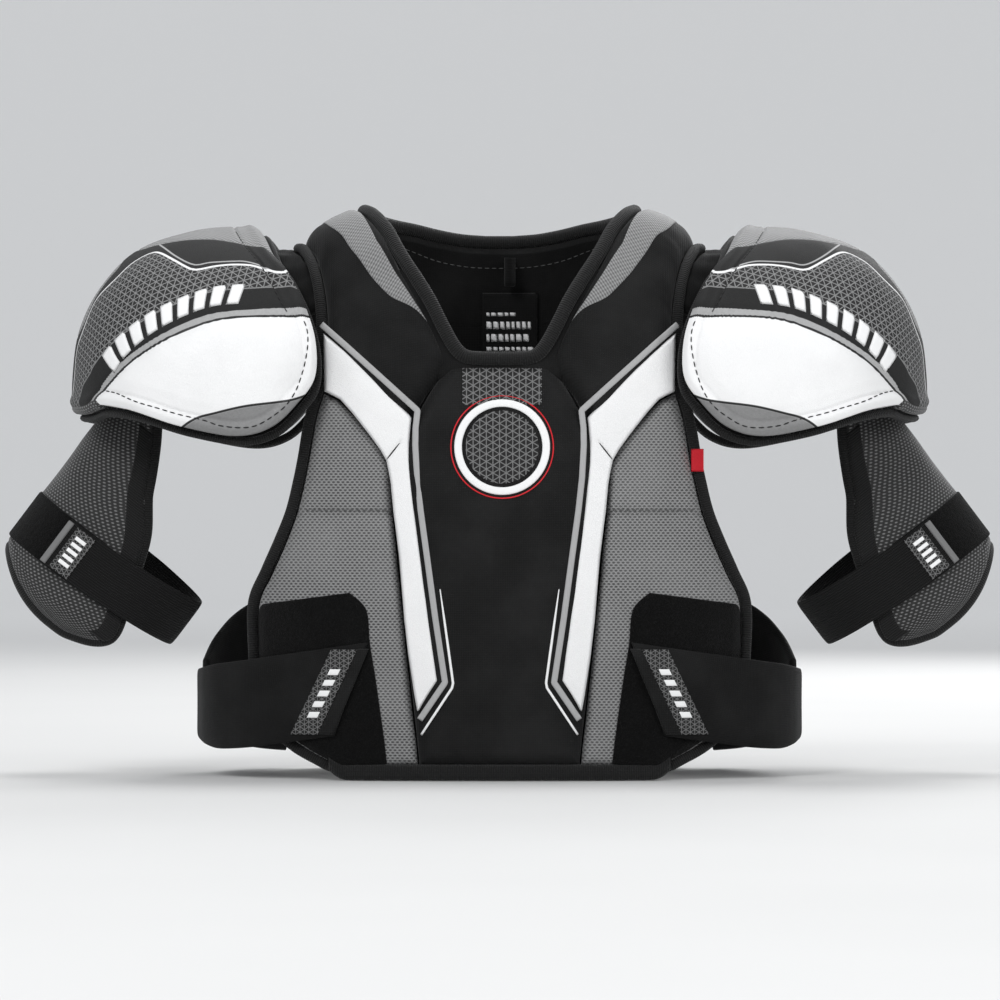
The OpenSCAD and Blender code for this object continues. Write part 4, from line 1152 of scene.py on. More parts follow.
def hem(side, name, reps):
    x = np.linspace(-112, 112, 190)
    parts = []
    zc = np.full_like(x, 5.6) + 6.5 * np.clip((np.abs(x) - 100) / 12, 0, 1) ** 2
    k = 18
    a = np.linspace(0, 2 * np.pi, k, endpoint=False)
    ring_ = []
    for ang in a:
        ca, sa = np.cos(ang), np.sin(ang)
        o_ = 5.8 + 5.8 * np.sign(ca) * abs(ca) ** 0.6
        z_ = zc + 5.2 * np.sign(sa) * abs(sa) ** 0.7
        ring_.append(wall(x, np.maximum(z_, 0.4), np.full_like(x, o_), side))
    V = np.stack(ring_, 1)
    n = len(x)
    idx = np.arange(n * k).reshape(n, k)
    Fc = np.stack([idx[:-1], np.roll(idx[:-1], -1, 1), np.roll(idx[1:], -1, 1), idx[1:]], -1).reshape(-1, 4).tolist()
    Fc += [list(idx[0][::-1]), list(idx[-1])]
    V = V.reshape(-1, 3)
    U = np.stack(np.broadcast_arrays(x[:, None], (a * 6)[None]), -1).reshape(-1, 2)
    f = Fc[3]
    nn = np.cross(V[f[1]] - V[f[0]], V[f[2]] - V[f[0]])
    c = V[idx[0]].mean(0)
    if (nn * (V[f[0]] - c)).sum() < 0:
        Fc = [q[::-1] for q in Fc]
    finish_piece(make(name, V, Fc, U, M["bind"]), "torso", reps)


hem(-1, "front_hem_binding", ("hem_bindings",))
hem(1, "back_hem_binding", ())

# ------------------------------------------------------------------ linings and back
lin_f = Pad(front, mir(LINER), LINER, 90, 90, -0.6, 1.4, 2.0, crown=0.0, R=30, wsize=30, wamp=0.25, seed=41)
finish_piece(lin_f.build("chest_lining", M["liner"]), "torso", ("chest_liner",))
lin_b = Pad(back, mir(BACK_LINER), BACK_LINER, 110, 90, -0.6, 1.4, 2.0, crown=0.0, R=30, wsize=30, wamp=0.3, seed=42)
finish_piece(lin_b.build("back_lining", M["liner"]), "torso", ("back_liner",))

ch = []
for zz in (96, 182, 262):
    ch.append((even(A_([[-58, zz], [0, zz - 7], [58, zz]]), 3), 2.0, 2.4))
backp = Pad(back, mir(BACK_C), BACK_C, 190, 90, 1.2, 11.8, 9.0, crown=1.6, R=50, wsize=50, wamp=0.4, seed=51, grooves=ch)
finish_piece(backp.build("back_centre_pad", M["black"]), "torso", ("back_foam", "back_cover"))
for sd, m in SIDES:
    gl = [(even(A_([[58, 175], [136, 175]]), 3, False), 2.4, 2.0), (even(A_([[58, 90], [160, 96]]), 3, False), 2.4, 2.0)]
    P = Pad(back, BACK_IN, BACK_OUT, 150, 70, 1.6, 8.2, 6.0, crown=1.8, R=34, wsize=40, wamp=0.45, seed=61 if m > 0 else 62, grooves=gl)
    finish_piece(P.build(f"{sd}_back_side_pad", M["waffle"], m), "torso", (f"{sd}_back_side_pad",))


# wings of the back, a soft padded panel that wraps forward
def wing_f(a, b, o):
    t = A_(a)
    q = cr(WING, t.ravel()).reshape(t.shape + (4,))
    e = 1e-2
    qa = cr(WING, np.clip(t - e, 0, 7).ravel()).reshape(t.shape + (4,))
    qb = cr(WING, np.clip(t + e, 0, 7).ravel()).reshape(t.shape + (4,))
    d = unit(np.stack([qb[..., 0] - qa[..., 0], qb[..., 1] - qa[..., 1]], -1))
    x = q[..., 0] - d[..., 1] * o
    y = q[..., 1] + d[..., 0] * o
    z = q[..., 2] * (1 - b) + q[..., 3] * b
    return np.stack([x, y, z], -1)


for sd, m in SIDES:
    nu, nv = 90, 60
    a = np.interp(warp(nu, 0.6), [0, 1], [0, 7])
    b = warp(nv, 0.8)
    AA, BB = np.meshgrid(a, b, indexing="ij")
    P0 = wing_f(AA, BB, np.zeros_like(AA))
    la = np.concatenate([np.zeros((1, nv)), np.cumsum(np.linalg.norm(np.diff(P0, axis=0), axis=2), 0)])
    lb = np.concatenate([np.zeros((nu, 1)), np.cumsum(np.linalg.norm(np.diff(P0, axis=1), axis=2), 1)], 1)
    d = np.minimum(np.minimum(la + 99, la[-1:] - la), np.minimum(lb, lb[:, -1:] - lb))
    d = np.minimum(d, la + 3)
    rr = np.sqrt(np.maximum(1 - (1 - np.clip(d / 5, 0, 1)) ** 2, 0))
    seamd = np.abs(d - 11)
    hgt = rr * 3.2 + 1.2 * (1 - (1 - np.clip(d / 25, 0, 1)) ** 2) - 1.1 * np.exp(-(seamd / 1.3) ** 2) * (la > 12)
    hgt = hgt + wob(P0, 30, 0.3, 71) * rr
    # the wing's outer face sits where the solid's is: o runs from -5 (inside) to 0
    mid = -2.5
    outer = wing_f(AA, BB, mid - hgt * 0.0 + 0.0) if False else wing_f(AA, BB, -(mid) * 0 - 2.5 + hgt * 0.85)
    inner = wing_f(AA, BB, -2.5 - rr * 2.4)
    # choose the outside: away from the body's axis
    test = wing_f(A_([[3.0]]), A_([[0.5]]), A_([[1.0]])) - wing_f(A_([[3.0]]), A_([[0.5]]), A_([[0.0]]))
    if test[0, 0, 0] < 0:
        outer, inner = wing_f(AA, BB, 2.5 - hgt * 0.85 - 0.0), wing_f(AA, BB, 2.5 + rr * 2.4)
        sgn = -1
    uv = np.stack([la, lb], -1)
    V, Fc, U = solid(outer, inner, uv)
    f = Fc[len(Fc) // 4]
    nn = np.cross(V[f[1]] - V[f[0]], V[f[2]] - V[f[0]])
    if nn[0] < 0:
        Fc = [q[::-1] for q in Fc]
    finish_piece(make(f"{sd}_back_wing", V, Fc, U, M["black"], side=m), "torso", (f"{sd}_back_wing",))

# hanging loop, size label and side tag
lo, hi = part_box("hang_loop")
hx, hy, hz0, hz1 = (lo[0] + hi[0]) * 500, (lo[1] + hi[1]) * 500, lo[2] * 1000, hi[2] * 1000
t = np.linspace(0, 1, 40)
ang = np.pi * t
LP = np.stack([0 * t + hx, hy + 3.6 * np.cos(np.pi * np.clip((t - 0.3) / 0.4, 0, 1)), np.where(t < 0.3, hz1 - (hz1 - hz0 - 4) * t / 0.3, np.where(t > 0.7, hz0 + 4 + (hz1 - hz0 - 4) * (t - 0.7) / 0.3, hz0 + 4 - 3.6 * np.sin(np.pi * np.clip((t - 0.3) / 0.4, 0, 1))))], -1)
V, Fc, U = tube(even(LP, 0.8), 0.75, 12, False, (1, 0, 0), 5.0, taper_ends=False)
finish_piece(make("hang_loop", V, Fc, U, M["web"]), "torso", ("hang_loop",))

lab = Pad(back, A_([[-12, 282], [-12, 325]]), A_([[26, 282], [26, 325]]), 30, 30, -2.4, 0.1, 1.0, crown=0, wamp=0.0)
GX, GZ = np.meshgrid(np.linspace(-12, 26, 24), np.linspace(282, 325, 24), indexing="ij")
LG = np.stack([GX, GZ], -1)
outer = back(GX, GZ, -2.7 + 0 * GX)
inner = back(GX, GZ, -2.2 + 0 * GX)
V, Fc, U = solid(outer, inner, LG)
f = Fc[5]
nn = np.cross(V[f[1]] - V[f[0]], V[f[2]] - V[f[0]])
if nn[1] > 0:
    Fc = [q[::-1] for q in Fc]
finish_piece(make("size_label", V, Fc, U, M["black2"]), "torso", ("size_label",))
bars = []
rng = np.random.default_rng(5)
for k, (zz, hh_, x0, x1) in enumerate(((303, 5.2, -9, 22), (294.5, 5.2, -9, 18), (287, 2.6, -9, 24), (310.5, 2.4, -9, 9))):
    x = x0
    while x < x1:
        w = float(rng.uniform(2.2, 4.2))
        gx, gz = np.meshgrid(np.linspace(x, x + w, 4), np.linspace(zz - hh_ / 2, zz + hh_ / 2, 4), indexing="ij")
        v1, f1, u1 = solid(back(gx, gz, -2.95 + 0 * gx), back(gx, gz, -2.8 + 0 * gx), np.stack([gx, gz], -1))
        nn = np.cross(v1[f1[0][1]] - v1[f1[0][0]], v1[f1[0][2]] - v1[f1[0][0]])
        if nn[1] > 0:
            f1 = [q[::-1] for q in f1]
        bars.append((v1, f1, u1))
        x += w + 0.9
V, Fc, U = join(bars)
finish_piece(make("size_label_bars", V, Fc, U, M["print"]), "torso")

lo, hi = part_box("side_tag")
lo, hi = A_(lo) * 1000, A_(hi) * 1000
tx = np.linspace(0, 1, 16)
tz = np.linspace(lo[2], hi[2], 12)
TX, TZ = np.meshgrid(tx, tz, indexing="ij")
bx = lo[0] + (hi[0] - lo[0]) * TX
by = hi[1] + (lo[1] - hi[1]) * (TX ** 1.0) + 0.6 * np.sin(TX * 3.0)
nrm = unit(A_([-(lo[1] - hi[1]), (hi[0] - lo[0]), 0]))
outer = np.stack([bx, by, TZ], -1) - nrm * 0.0
inner = outer + A_([0.55, 0.45, 0])
V, Fc, U = solid(outer, inner, np.stack([TX * 9, TZ], -1))
f = Fc[4]
nn = np.cross(V[f[1]] - V[f[0]], V[f[2]] - V[f[0]])
if nn[1] > 0:
    Fc = [q[::-1] for q in Fc]
finish_piece(make("side_tag", V, Fc, U, M["redtape"]), "torso", ("side_tag",))

# ------------------------------------------------------------------ shoulder caps
rim_front = cap_u(RIM[:, 0], RIM[:, 1])
rl = np.vstack([unit([-0.085, 0, 0.996])[None], rim_front[1:], unit([1, 0, -0.07])[None], (rim_front[1:] * A_([1, -1, 1]))[::-1]])
POLE = unit(A_([0.45, 0, 0.62]))
rc = np.vstack([rl[-2:], rl, rl[:3]])
ts = np.linspace(2, 2 + len(rl), 16 * len(rl), endpoint=False)
rq = unit(cr(rc, ts))
# even spacing round the rim
rp = cap_p(rq, 0.0)
Lr = cum(np.vstack([rp, rp[:1]]))
NR = 300
se = np.linspace(0, Lr[-1], NR, endpoint=False)
rq2 = np.vstack([rq, rq[:1]])
RL = unit(np.stack([np.interp(se, Lr, rq2[:, k]) for k in range(3)], -1))

lobe_top = pic_cap([(96, 402), (107, 389), (125, 369), (146, 352), (180, 333), (215, 321), (250, 317), (299, 317), (322, 318)])
grey_top = pic_cap([(92, 404), (102, 391), (106, 383), (120, 366), (146, 345), (180, 326), (215, 314), (267, 309), (306, 309), (326, 309)])
pinst = pic_cap([(300, 268), (287, 272), (281, 276), (263, 271.5), (250, 268), (232, 267), (215, 268), (196, 271), (186, 268), (175, 262), (160, 255), (150, 256), (135, 265), (120, 280), (103, 298), (96, 310), (88, 332), (82, 352), (79, 375), (78, 392)])
lobe_low = pic_cap([(168, 440), (183, 427), (197, 418), (215, 413), (245, 406), (285, 401), (307, 395), (330, 388)])
thin = pic_cap([(160, 246), (175, 257), (194, 266), (210, 264), (232, 263.5), (245, 264), (259, 268), (272, 274)])
knit = pic_cap([(128, 268), (145, 251), (160, 246), (180, 243), (200, 241), (215, 241), (235, 244), (250, 247), (267, 252), (285, 262)])
knit = pic_cap([(60, 372), (86, 330), (100, 296), (118, 272), (132, 258), (145, 251), (160, 246), (180, 243), (200, 241), (215, 241), (235, 244), (250, 247), (267, 252), (290, 266)])


def c3(c, t=0.0, step=2.0):
    q = even(c, step)
    return cap_p(cap_u(q[:, 0], q[:, 1]), t)


C1, C3, C4, C5, C6, C7 = c3(lobe_top), c3(grey_top), c3(pinst), c3(lobe_low), c3(thin), c3(knit)


def front_pt(px, py):
    q = pic_cap([(px, py)])
    return cap_p(cap_u(q[:, 0], q[:, 1]), 0.0)[0]


POS1 = front_pt(190, 290)
POS7 = front_pt(200, 235)


def cap_dirs(nv, k=0.75):
    v = np.linspace(0, 1, nv + 1)[1:]
    v = 1 - (1 - v) ** 1.15
    return np.stack([unit(POLE * (1 - x) + RL * x) for x in v], 0)


def dome(vout, vin, uvo, pole_o, pole_i, uvp):
    """closed shell from ring grids (rings, n, 3)"""
    R_, n = vout.shape[:2]
    V = np.vstack([pole_o[None], vout.reshape(-1, 3), pole_i[None], vin[:-1].reshape(-1, 3)])
    U = np.vstack([uvp[None], uvo.reshape(-1, 2), uvp[None], uvo[:-1].reshape(-1, 2)])
    i0 = 1 + np.arange(R_ * n).reshape(R_, n)
    b = 1 + R_ * n
    i1 = np.vstack([b + 1 + np.arange((R_ - 1) * n).reshape(R_ - 1, n), i0[-1:]])
    Fc = []
    nx = np.roll(i0, -1, 1)
    Fc += np.stack([np.zeros(n, int), i0[0], nx[0]], -1).tolist()
    Fc += np.stack([i0[:-1], i0[1:], nx[1:], nx[:-1]], -1).reshape(-1, 4).tolist()
    nx1 = np.roll(i1, -1, 1)
    Fc += np.stack([np.full(n, b), nx1[0], i1[0]], -1).tolist()
    Fc += np.stack([i1[:-1], nx1[:-1], nx1[1:], i1[1:]], -1).reshape(-1, 4).tolist()
    f = Fc[n + 5]
    nn = np.cross(V[f[1]] - V[f[0]], V[f[2]] - V[f[0]])
    if (nn * (V[f[0]] - CC)).sum() < 0:
        Fc = [q[::-1] for q in Fc]
    return V, Fc, U


E0 = unit(A_([0.2, -0.9, 0.25]))
EX = unit(np.cross(A_([0, 0, 1.0]), E0))
EZ = np.cross(E0, EX)


def cap_uv(u):
    q = u.copy()
    q[..., 1] = -np.abs(q[..., 1])
    c = np.clip((q * E0).sum(-1), -1, 1)
    th = np.arccos(c)
    a, b = (q * EX).sum(-1), (q * EZ).sum(-1)
    n = np.sqrt(a * a + b * b) + 1e-9
    return np.stack([a / n * th * 118, b / n * th * 118], -1)


def fold(P):
    Q = P.copy()
    Q[..., 1] = -np.abs(Q[..., 1])
    return Q


D = cap_dirs(96)
P0 = cap_p(D, 0.0)
flat0 = P0.reshape(-1, 3)
Nrm = unit(flat0 - CC)
NF = fold(Nrm)
FP = fold(flat0)
S1 = sd3(FP, C1, NF, POS1)
S3 = sd3(FP, C3, NF, POS1)
S4 = sd3(FP, C4, NF, POS7)
S5 = sd3(FP, C5, NF, POS1)
S6d = sd3(FP, C6, NF, POS7)
S7 = sd3(FP, C7, NF, POS7)
rimd = dist_line(flat0, cap_p(RL, 0.0), True)[0]
# the inner edge's hem: only along the side next to the neck
hemline = c3(pic_cap([(232, 226), (243, 244), (258, 262), (272, 284), (284, 308), (291, 322)]))
HD = dist_line(FP, hemline)[0]
hgt = 1.5 * np.sqrt(np.maximum(1 - (1 - np.clip(rimd / 5.0, 0, 1)) ** 2, 0))
# rolled rim, padded lobe, grooves at the seams
roll = 1.3 * np.exp(-((rimd - 5.5) / 3.2) ** 2)
lobe = np.clip(-S1 / 16, 0, 1)
hgt += roll + 1.6 * (1 - (1 - lobe) ** 2) * np.clip((rimd - 9) / 10, 0, 1)
hgt -= 1.3 * np.exp(-(S1 / 1.3) ** 2)
hgt -= 0.9 * np.exp(-((rimd - 9.6) / 1.0) ** 2) * (S1 < 1)
hgt -= 0.8 * np.exp(-(S3 / 1.0) ** 2) * (S3 < 6)
hgt -= 0.5 * np.exp(-(S7 / 1.1) ** 2)
hgt -= 0.9 * np.exp(-(HD / 1.1) ** 2) * (S1 > -2)
hgt = np.maximum(hgt, 0.0)
hgt = (hgt + wob(flat0, 45, 0.35, 81) * np.clip(hgt, 0, 1)).reshape(P0.shape[:2])
OUT = cap_p(D, -hgt)
INN = cap_p(D, 1.6 - 1.4 * np.exp(-rimd.reshape(P0.shape[:2]) / 1.5))
uvc = cap_uv(D)
pole_o, pole_i = cap_p(POLE, -float(hgt[0].mean())), cap_p(POLE, 1.6)
V, Fc, U = dome(OUT, INN, uvc, pole_o, pole_i, cap_uv(POLE[None])[0])
no = 1 + OUT.shape[0] * NR


def spread(S, polev):
    S = A_(S)
    return np.concatenate([[polev], S, [polev], S[:(OUT.shape[0] - 1) * NR]])


cap_attr = {"s1": spread(S1, 60), "s3": spread(S3, 60), "s4": spread(S4, 30), "s5": spread(S5, 90), "s6": spread(S6d, 40), "s7": spread(S7, 20), "sh": spread(HD, 90)}


def on_cap(c, h=0.0, t=0.0):
    q = even(c, 1.5)
    u = cap_u(q[:, 0], q[:, 1])
    return cap_p(u, t - h), unit(cap_p(u, -5.0) - cap_p(u, 0.0))


stitch_px = [(107, 391), (120, 394), (140, 402), (160, 408), (180, 414), (205, 420), (220, 425), (240, 427), (255, 425), (270, 417), (285, 405), (296, 388), (303, 368), (306, 345), (305, 330), (300, 318)]

tree = None
from mathutils.bvhtree import BVHTree
from mathutils import Vector


def cap_tree(V, Fc):
    return BVHTree.FromPolygons([Vector(v) for v in V], [list(f) for f in Fc])


TREE = cap_tree(V, Fc)


def drop(u, extra=0.0):
    """points on the made cap surface in directions u from its centre"""
    out, nor = [], []
    for d in u:
        d = Vector(d)
        hit = TREE.ray_cast(Vector(CC) + d * 180, -d)
        if hit[0] is None:
            p = cap_p(A_(d), -1.0)
            n = A_(d)
        else:
            p, n = A_(hit[0]), A_(hit[1])
            if (n * A_(d)).sum() < 0:
                n = -n
        out.append(p + n * extra)
        nor.append(n)
    return A_(out), A_(nor)


both_sides = []
sq = even(pic_cap(stitch_px), 1.5)
su = cap_u(sq[:, 0], sq[:, 1])
st_parts = []
for yy in (1, -1):
    pts, nor = drop(su * A_([1, yy, 1]))
    st_parts.append(stitches(pts, nor, 3.6, 1.9, 0.42))
hq = even(pic_cap([(236, 233), (247, 250), (258, 265), (270, 284), (283, 306), (290, 318)]), 1.5)
for off in (0,):
    hu = cap_u(hq[:, 0], hq[:, 1])
    for yy in (1, -1):
        pts, nor = drop(hu * A_([1, yy, 1]))
        st_parts.append(stitches(pts, nor, 3.0, 1.8, 0.34))
ST = join(st_parts)

# slanted bars in place of the lettering
band_mid = pic_cap([(106, 373), (121, 351), (146, 328), (180, 309), (215, 298), (262, 294)])
bq = even(band_mid, 1.0)
bl = cum(bq)
bar_parts = []
for yy in (1, -1):
    s = 6.0
    wd = 8.4
    while s + wd < bl[-1] - 2:
        ns, nt = 7, 7
        g = []
        for i in range(ns):
            rowp = []
            for j in range(nt):
                tt = (j / (nt - 1) - 0.5) * 12.4
                ss_ = s + wd * i / (ns - 1) + tt * 0.42
                c = A_([np.interp(ss_, bl, bq[:, 0]), np.interp(ss_, bl, bq[:, 1])])
                c2 = A_([np.interp(ss_ + 1, bl, bq[:, 0]), np.interp(ss_ + 1, bl, bq[:, 1])])
                d = unit(c2 - c)
                nrm_ = A_([-d[1], d[0]])
                if nrm_[1] < 0:
                    nrm_ = -nrm_
                rowp.append(c + nrm_ * tt)
            g.append(rowp)
        g = A_(g)
        u = cap_u(g[..., 0], g[..., 1]).reshape(-1, 3) * A_([1, yy, 1])
        top, nor = drop(u)
        ed = np.ones((ns, nt))
        ed[0], ed[-1], ed[:, 0], ed[:, -1] = 0, 0, 0, 0
        top_ = (top + nor * (0.15 + 0.45 * ed.reshape(-1, 1))).reshape(ns, nt, 3)
        bot_ = (top - nor * 0.15).reshape(ns, nt, 3)
        v1, f1, u1 = solid(top_, bot_, g)
        f = f1[ns]
        nn = np.cross(v1[f[1]] - v1[f[0]], v1[f[2]] - v1[f[0]])
        if (nn * (v1[f[0]] - CC)).sum() < 0:
            f1 = [q[::-1] for q in f1]
        bar_parts.append((v1, f1, u1))
        s += wd + 3.2
BR = join(bar_parts)

# the foam liner under the shell, standing a little below the rim
rimdl = dist_line(cap_p(D, 4.0).reshape(-1, 3), cap_p(RL, 4.0), True)[0].reshape(P0.shape[:2])
tan = unit((RL - POLE) - RL * ((RL - POLE) * RL).sum(1, keepdims=True))


def dirs_ext(nv, ext):
    v = np.linspace(0, 1, nv + 1)[1:]
    v = 1 - (1 - v) ** 1.15
    R2 = unit(RL + ext * tan)
    return np.stack([unit(POLE * (1 - x) + R2 * x) for x in v], 0)


DL = dirs_ext(48, 0.012)
rl_ = dist_line(cap_p(DL, 5.0).reshape(-1, 3), cap_p(DL[-1], 5.0), True)[0].reshape(DL.shape[:2])
rd = np.sqrt(np.maximum(1 - (1 - np.clip(rl_ / 6.5, 0, 1)) ** 2, 0))
quilt = 0.0
puff = wob(cap_p(DL, 8.0), 30, 0.4, 83)
LO = cap_p(DL, 7.8 - 3.6 * rd)
LI = cap_p(DL, 7.8 + (4.0 + 0.9 * np.clip(rl_ / 25, 0, 1)) * rd + puff * rd)
LV = dome(LO, LI, cap_uv(DL), cap_p(POLE, 4.2), cap_p(POLE, 12.2), cap_uv(POLE[None])[0])

# binding round the foam's edge
bind_dir = unit(RL + 0.056 * tan)
BP = cap_p(bind_dir, 7.4)
BT = tube(BP, 2.7, 12, True, unit(bind_dir), 1.5)

RP = cap_p(unit(RL - 0.010 * tan), 2.6)
sel = RP[:, 0] > 257
k0 = int(np.argmax(sel & ~np.roll(sel, 1)))
RQ = np.roll(RP, -k0, 0)[:int(sel.sum())]
RD = np.roll(RL, -k0, 0)[:int(sel.sum())]
RQ = even(RQ, 1.5)
CR_ = tube(RQ, 4.3, 14, False, unit(RQ - CC), 1.0, taper_ends=True)

for sd, m in SIDES:
    finish_piece(make(f"{sd}_cap_mesh_roll", *CR_, M["dotmesh"], side=m), f"{sd}_cap", ())
    c = finish_piece(make(f"{sd}_cap_cover", V, Fc, U, M["cap"], cap_attr, m), f"{sd}_cap", (f"{sd}_cap_cover",))
    finish_piece(make(f"{sd}_cap_stitching", *ST, M["thread"], side=m), f"{sd}_cap")
    finish_piece(make(f"{sd}_cap_bars", *BR, M["print"], side=m), f"{sd}_cap")
    finish_piece(make(f"{sd}_cap_liner", *LV, M["black2"], side=m), f"{sd}_cap", (f"{sd}_cap_liner",))
    finish_piece(make(f"{sd}_cap_edge_binding", *BT, M["bind"], side=m), f"{sd}_cap", (f"{sd}_cap_binding",))
    # bridge from the yoke to the cap
    BA = np.stack([BRIDGE[:, 1] - 4, p2s(BRIDGE[:, 0])], -1)
    BB = np.stack([BRIDGE[:, 2], p2s(BRIDGE[:, 0])], -1)

    def bf(x, s, o):
        return arch(x, s, o + np.maximum(0, x - 138) * 0.62)
    PB = Pad(bf, BA, BB, 90, 26, 1.0, 4.6, 3.0, crown=0.6, R=10, wsize=18, wamp=0.5, seed=91)
    b = PB.build(f"{sd}_cap_bridge", M["black2"], m)
    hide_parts(f"{sd}_cap_bridge")
    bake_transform(b)

# ------------------------------------------------------------------ arm guards
def guard_rows(nu, nv, o, ds=0.0):
    t = rows(np.stack([GUARD[:, 1], GUARD[:, 0]], -1), np.stack([GUARD[:, 2], GUARD[:, 0]], -1), nu, 0.7)
    g = cr(GUARD, t)
    v = warp(nv, 0.6)
    w = g[:, 1:2] * (1 - v) + g[:, 2:3] * v
    s = g[:, 0:1] * (1 - 0.17 * np.maximum(0, np.cos(np.radians(w))) ** 2)
    return s, w


nu, nv = 120, 110
GS, GW = guard_rows(nu, nv, 0)
PG = arm(GS, GW, 8.0)
la = np.concatenate([np.zeros((1, nv)), np.cumsum(np.linalg.norm(np.diff(PG, axis=0), axis=2), 0)])
lb = np.concatenate([np.zeros((nu, 1)), np.cumsum(np.linalg.norm(np.diff(PG, axis=1), axis=2), 1)], 1)
db = np.minimum(np.minimum(la, la[-1:] - la), np.minimum(lb, lb[:, -1:] - lb))
rr = np.sqrt(np.maximum(1 - (1 - np.clip(db / 4.5, 0, 1)) ** 2, 0))
crown = 0.5 * (1 - (1 - np.clip(db / 28, 0, 1)) ** 2)
groove = 0.9 * np.exp(-((db - 8.5) / 1.2) ** 2)
oo = 4.6 + rr * 4.6 + crown * rr - groove + wob(PG, 36, 0.25, 101) * rr
ii = 4.6 - rr * 4.8
guv = np.stack([lb - lb[:, -1:] / 2, -la], -1)
GO = solid(arm(GS, GW, oo), arm(GS, GW, ii), guv)
f = GO[1][len(GO[1]) // 4]
nn = np.cross(GO[0][f[1]] - GO[0][f[0]], GO[0][f[2]] - GO[0][f[0]])
if (nn * (GO[0][f[0]] - (ARO + ARA * 60))).sum() < 0:
    GO = (GO[0], [q[::-1] for q in GO[1]], GO[2])
# binding round the guard's edge
edge = np.vstack([PG[0, :], PG[1:, -1], PG[-1, ::-1][1:], PG[::-1, 0][1:-1]])
cen = np.vstack([arm(GS[0, :], GW[0, :], 4.6), arm(GS[1:, -1], GW[1:, -1], 4.6), arm(GS[-1, ::-1][1:], GW[-1, ::-1][1:], 4.6), arm(GS[::-1, 0][1:-1], GW[::-1, 0][1:-1], 4.6)])
cn = even(np.vstack([cen, cen[:1]]), 1.2, False)[:-1]
# smooth corners
for _ in range(6):
    cn = (np.roll(cn, 1, 0) + cn * 2 + np.roll(cn, -1, 0)) / 4
GB = tube(cn, 4.2, 12, True, unit(cn - (ARO + ARA * 60)), 1.0)


def arm_patch(s0, s1, w0, w1, base, th, nu_, nv_, edge_=1.6):
    s = s0 + (s1 - s0) * warp(nu_, 0.8)
    w = w0 + (w1 - w0) * warp(nv_, 0.8)
    S_, W_ = np.meshgrid(s, w, indexing="ij")
    P = arm(S_, W_, base)
    a = np.concatenate([np.zeros((1, nv_)), np.cumsum(np.linalg.norm(np.diff(P, axis=0), axis=2), 0)])
    b = np.concatenate([np.zeros((nu_, 1)), np.cumsum(np.linalg.norm(np.diff(P, axis=1), axis=2), 1)], 1)
    d = np.minimum(np.minimum(a, a[-1:] - a), np.minimum(b, b[:, -1:] - b))
    r_ = np.sqrt(np.maximum(1 - (1 - np.clip(d / edge_, 0, 1)) ** 2, 0))
    g = solid(arm(S_, W_, base + th * r_), arm(S_, W_, base - 0.2), np.stack([b, a], -1))
    f = g[1][len(g[1]) // 4]
    nn = np.cross(g[0][f[1]] - g[0][f[0]], g[0][f[2]] - g[0][f[0]])
    if (nn * (g[0][f[0]] - (ARO + ARA * 60))).sum() < 0:
        g = (g[0], [q[::-1] for q in g[1]], g[2])
    return g


LPCH = arm_patch(67.5, 103.5, 88, -16, 10.1, 1.4, 40, 70)

# strap: stations along it, its middle height and half width
H2 = 17.5


def strap_line(o, h):
    A = [arm(A_(p[1] + h), A_(p[0]), A_(11.8 + o)) for p in STRAP_W]
    n = len(STRAP_FREE)
    Bp = []
    for i in range(n):
        a, b = STRAP_FREE[max(i - 1, 0)], STRAP_FREE[min(i + 1, n - 1)]
        d = unit(A_([b[0] - a[0], b[1] - a[1]]))
        f = STRAP_FREE[i]
        Bp.append(ARO + (f[2] + h) * ARA + (f[0] + d[1] * (2.4 - o)) * ARN + A_([0, f[1] - d[0] * (2.4 - o), 0]))
    return np.vstack([A, Bp])


def strap_grid(o_fn, nl, hs):
    """o_fn is not used"""
    base0 = strap_line(0.0, 0.0)
    ts = np.linspace(0, len(base0) - 1, 400)
    L = cum(cr(base0, ts))
    tt = np.interp(warp(nl, 0.5) * L[-1], L, ts)
    lo0, lo1 = [], []
    G0 = np.stack([cr(strap_line(0.0, h), tt) for h in hs], 1)
    G1 = np.stack([cr(strap_line(2.4, h), tt) for h in hs], 1)
    return G0, G1, np.interp(tt, ts, L), L[-1]


hs = H2 * np.sin(np.linspace(-np.pi / 2, np.pi / 2, 24))
G0, G1, Ls, Lt = strap_grid(None, 150, hs)
wv = 0.35 * np.sin(Ls / 9.0)[:, None] * np.clip((Ls - 70) / 30, 0, 1)[:, None]
nrm_ = unit(G1 - G0)
thk = np.sqrt(np.maximum(1 - (np.abs(hs) / H2) ** 6, 0.0))[None]
endr = np.clip(np.minimum(Ls, Lt - Ls) / 1.5, 0, 1)[:, None]
mid = (G0 + G1) / 2 + nrm_ * wv[..., None]
top = mid + nrm_ * (1.2 * thk * endr)[..., None]
bot = mid - nrm_ * (1.2 * thk * endr)[..., None]
AS = solid(top, bot, np.stack(np.broadcast_arrays(Ls[:, None], hs[None]), -1))
f = AS[1][30]
nn = np.cross(AS[0][f[1]] - AS[0][f[0]], AS[0][f[2]] - AS[0][f[0]])
if (nn * (AS[0][f[0]] - (ARO + ARA * 85))).sum() < 0:
    AS = (AS[0], [q[::-1] for q in AS[1]], AS[2])
LBL = arm_patch(70.0, 102.0, 69.5, 82.5, 14.5, 0.8, 30, 26, 1.2)
TAB = arm_patch(69.6, 102.4, 62.2, 66.4, 14.2, 1.3, 30, 12, 1.0)
lb_parts = []
for i in range(5):
    lb_parts.append(arm_patch(75 + i * 4.6, 77.6 + i * 4.6, 72.5, 79.5, 15.35, 0.25, 6, 10, 0.8))
LBB = join(lb_parts)
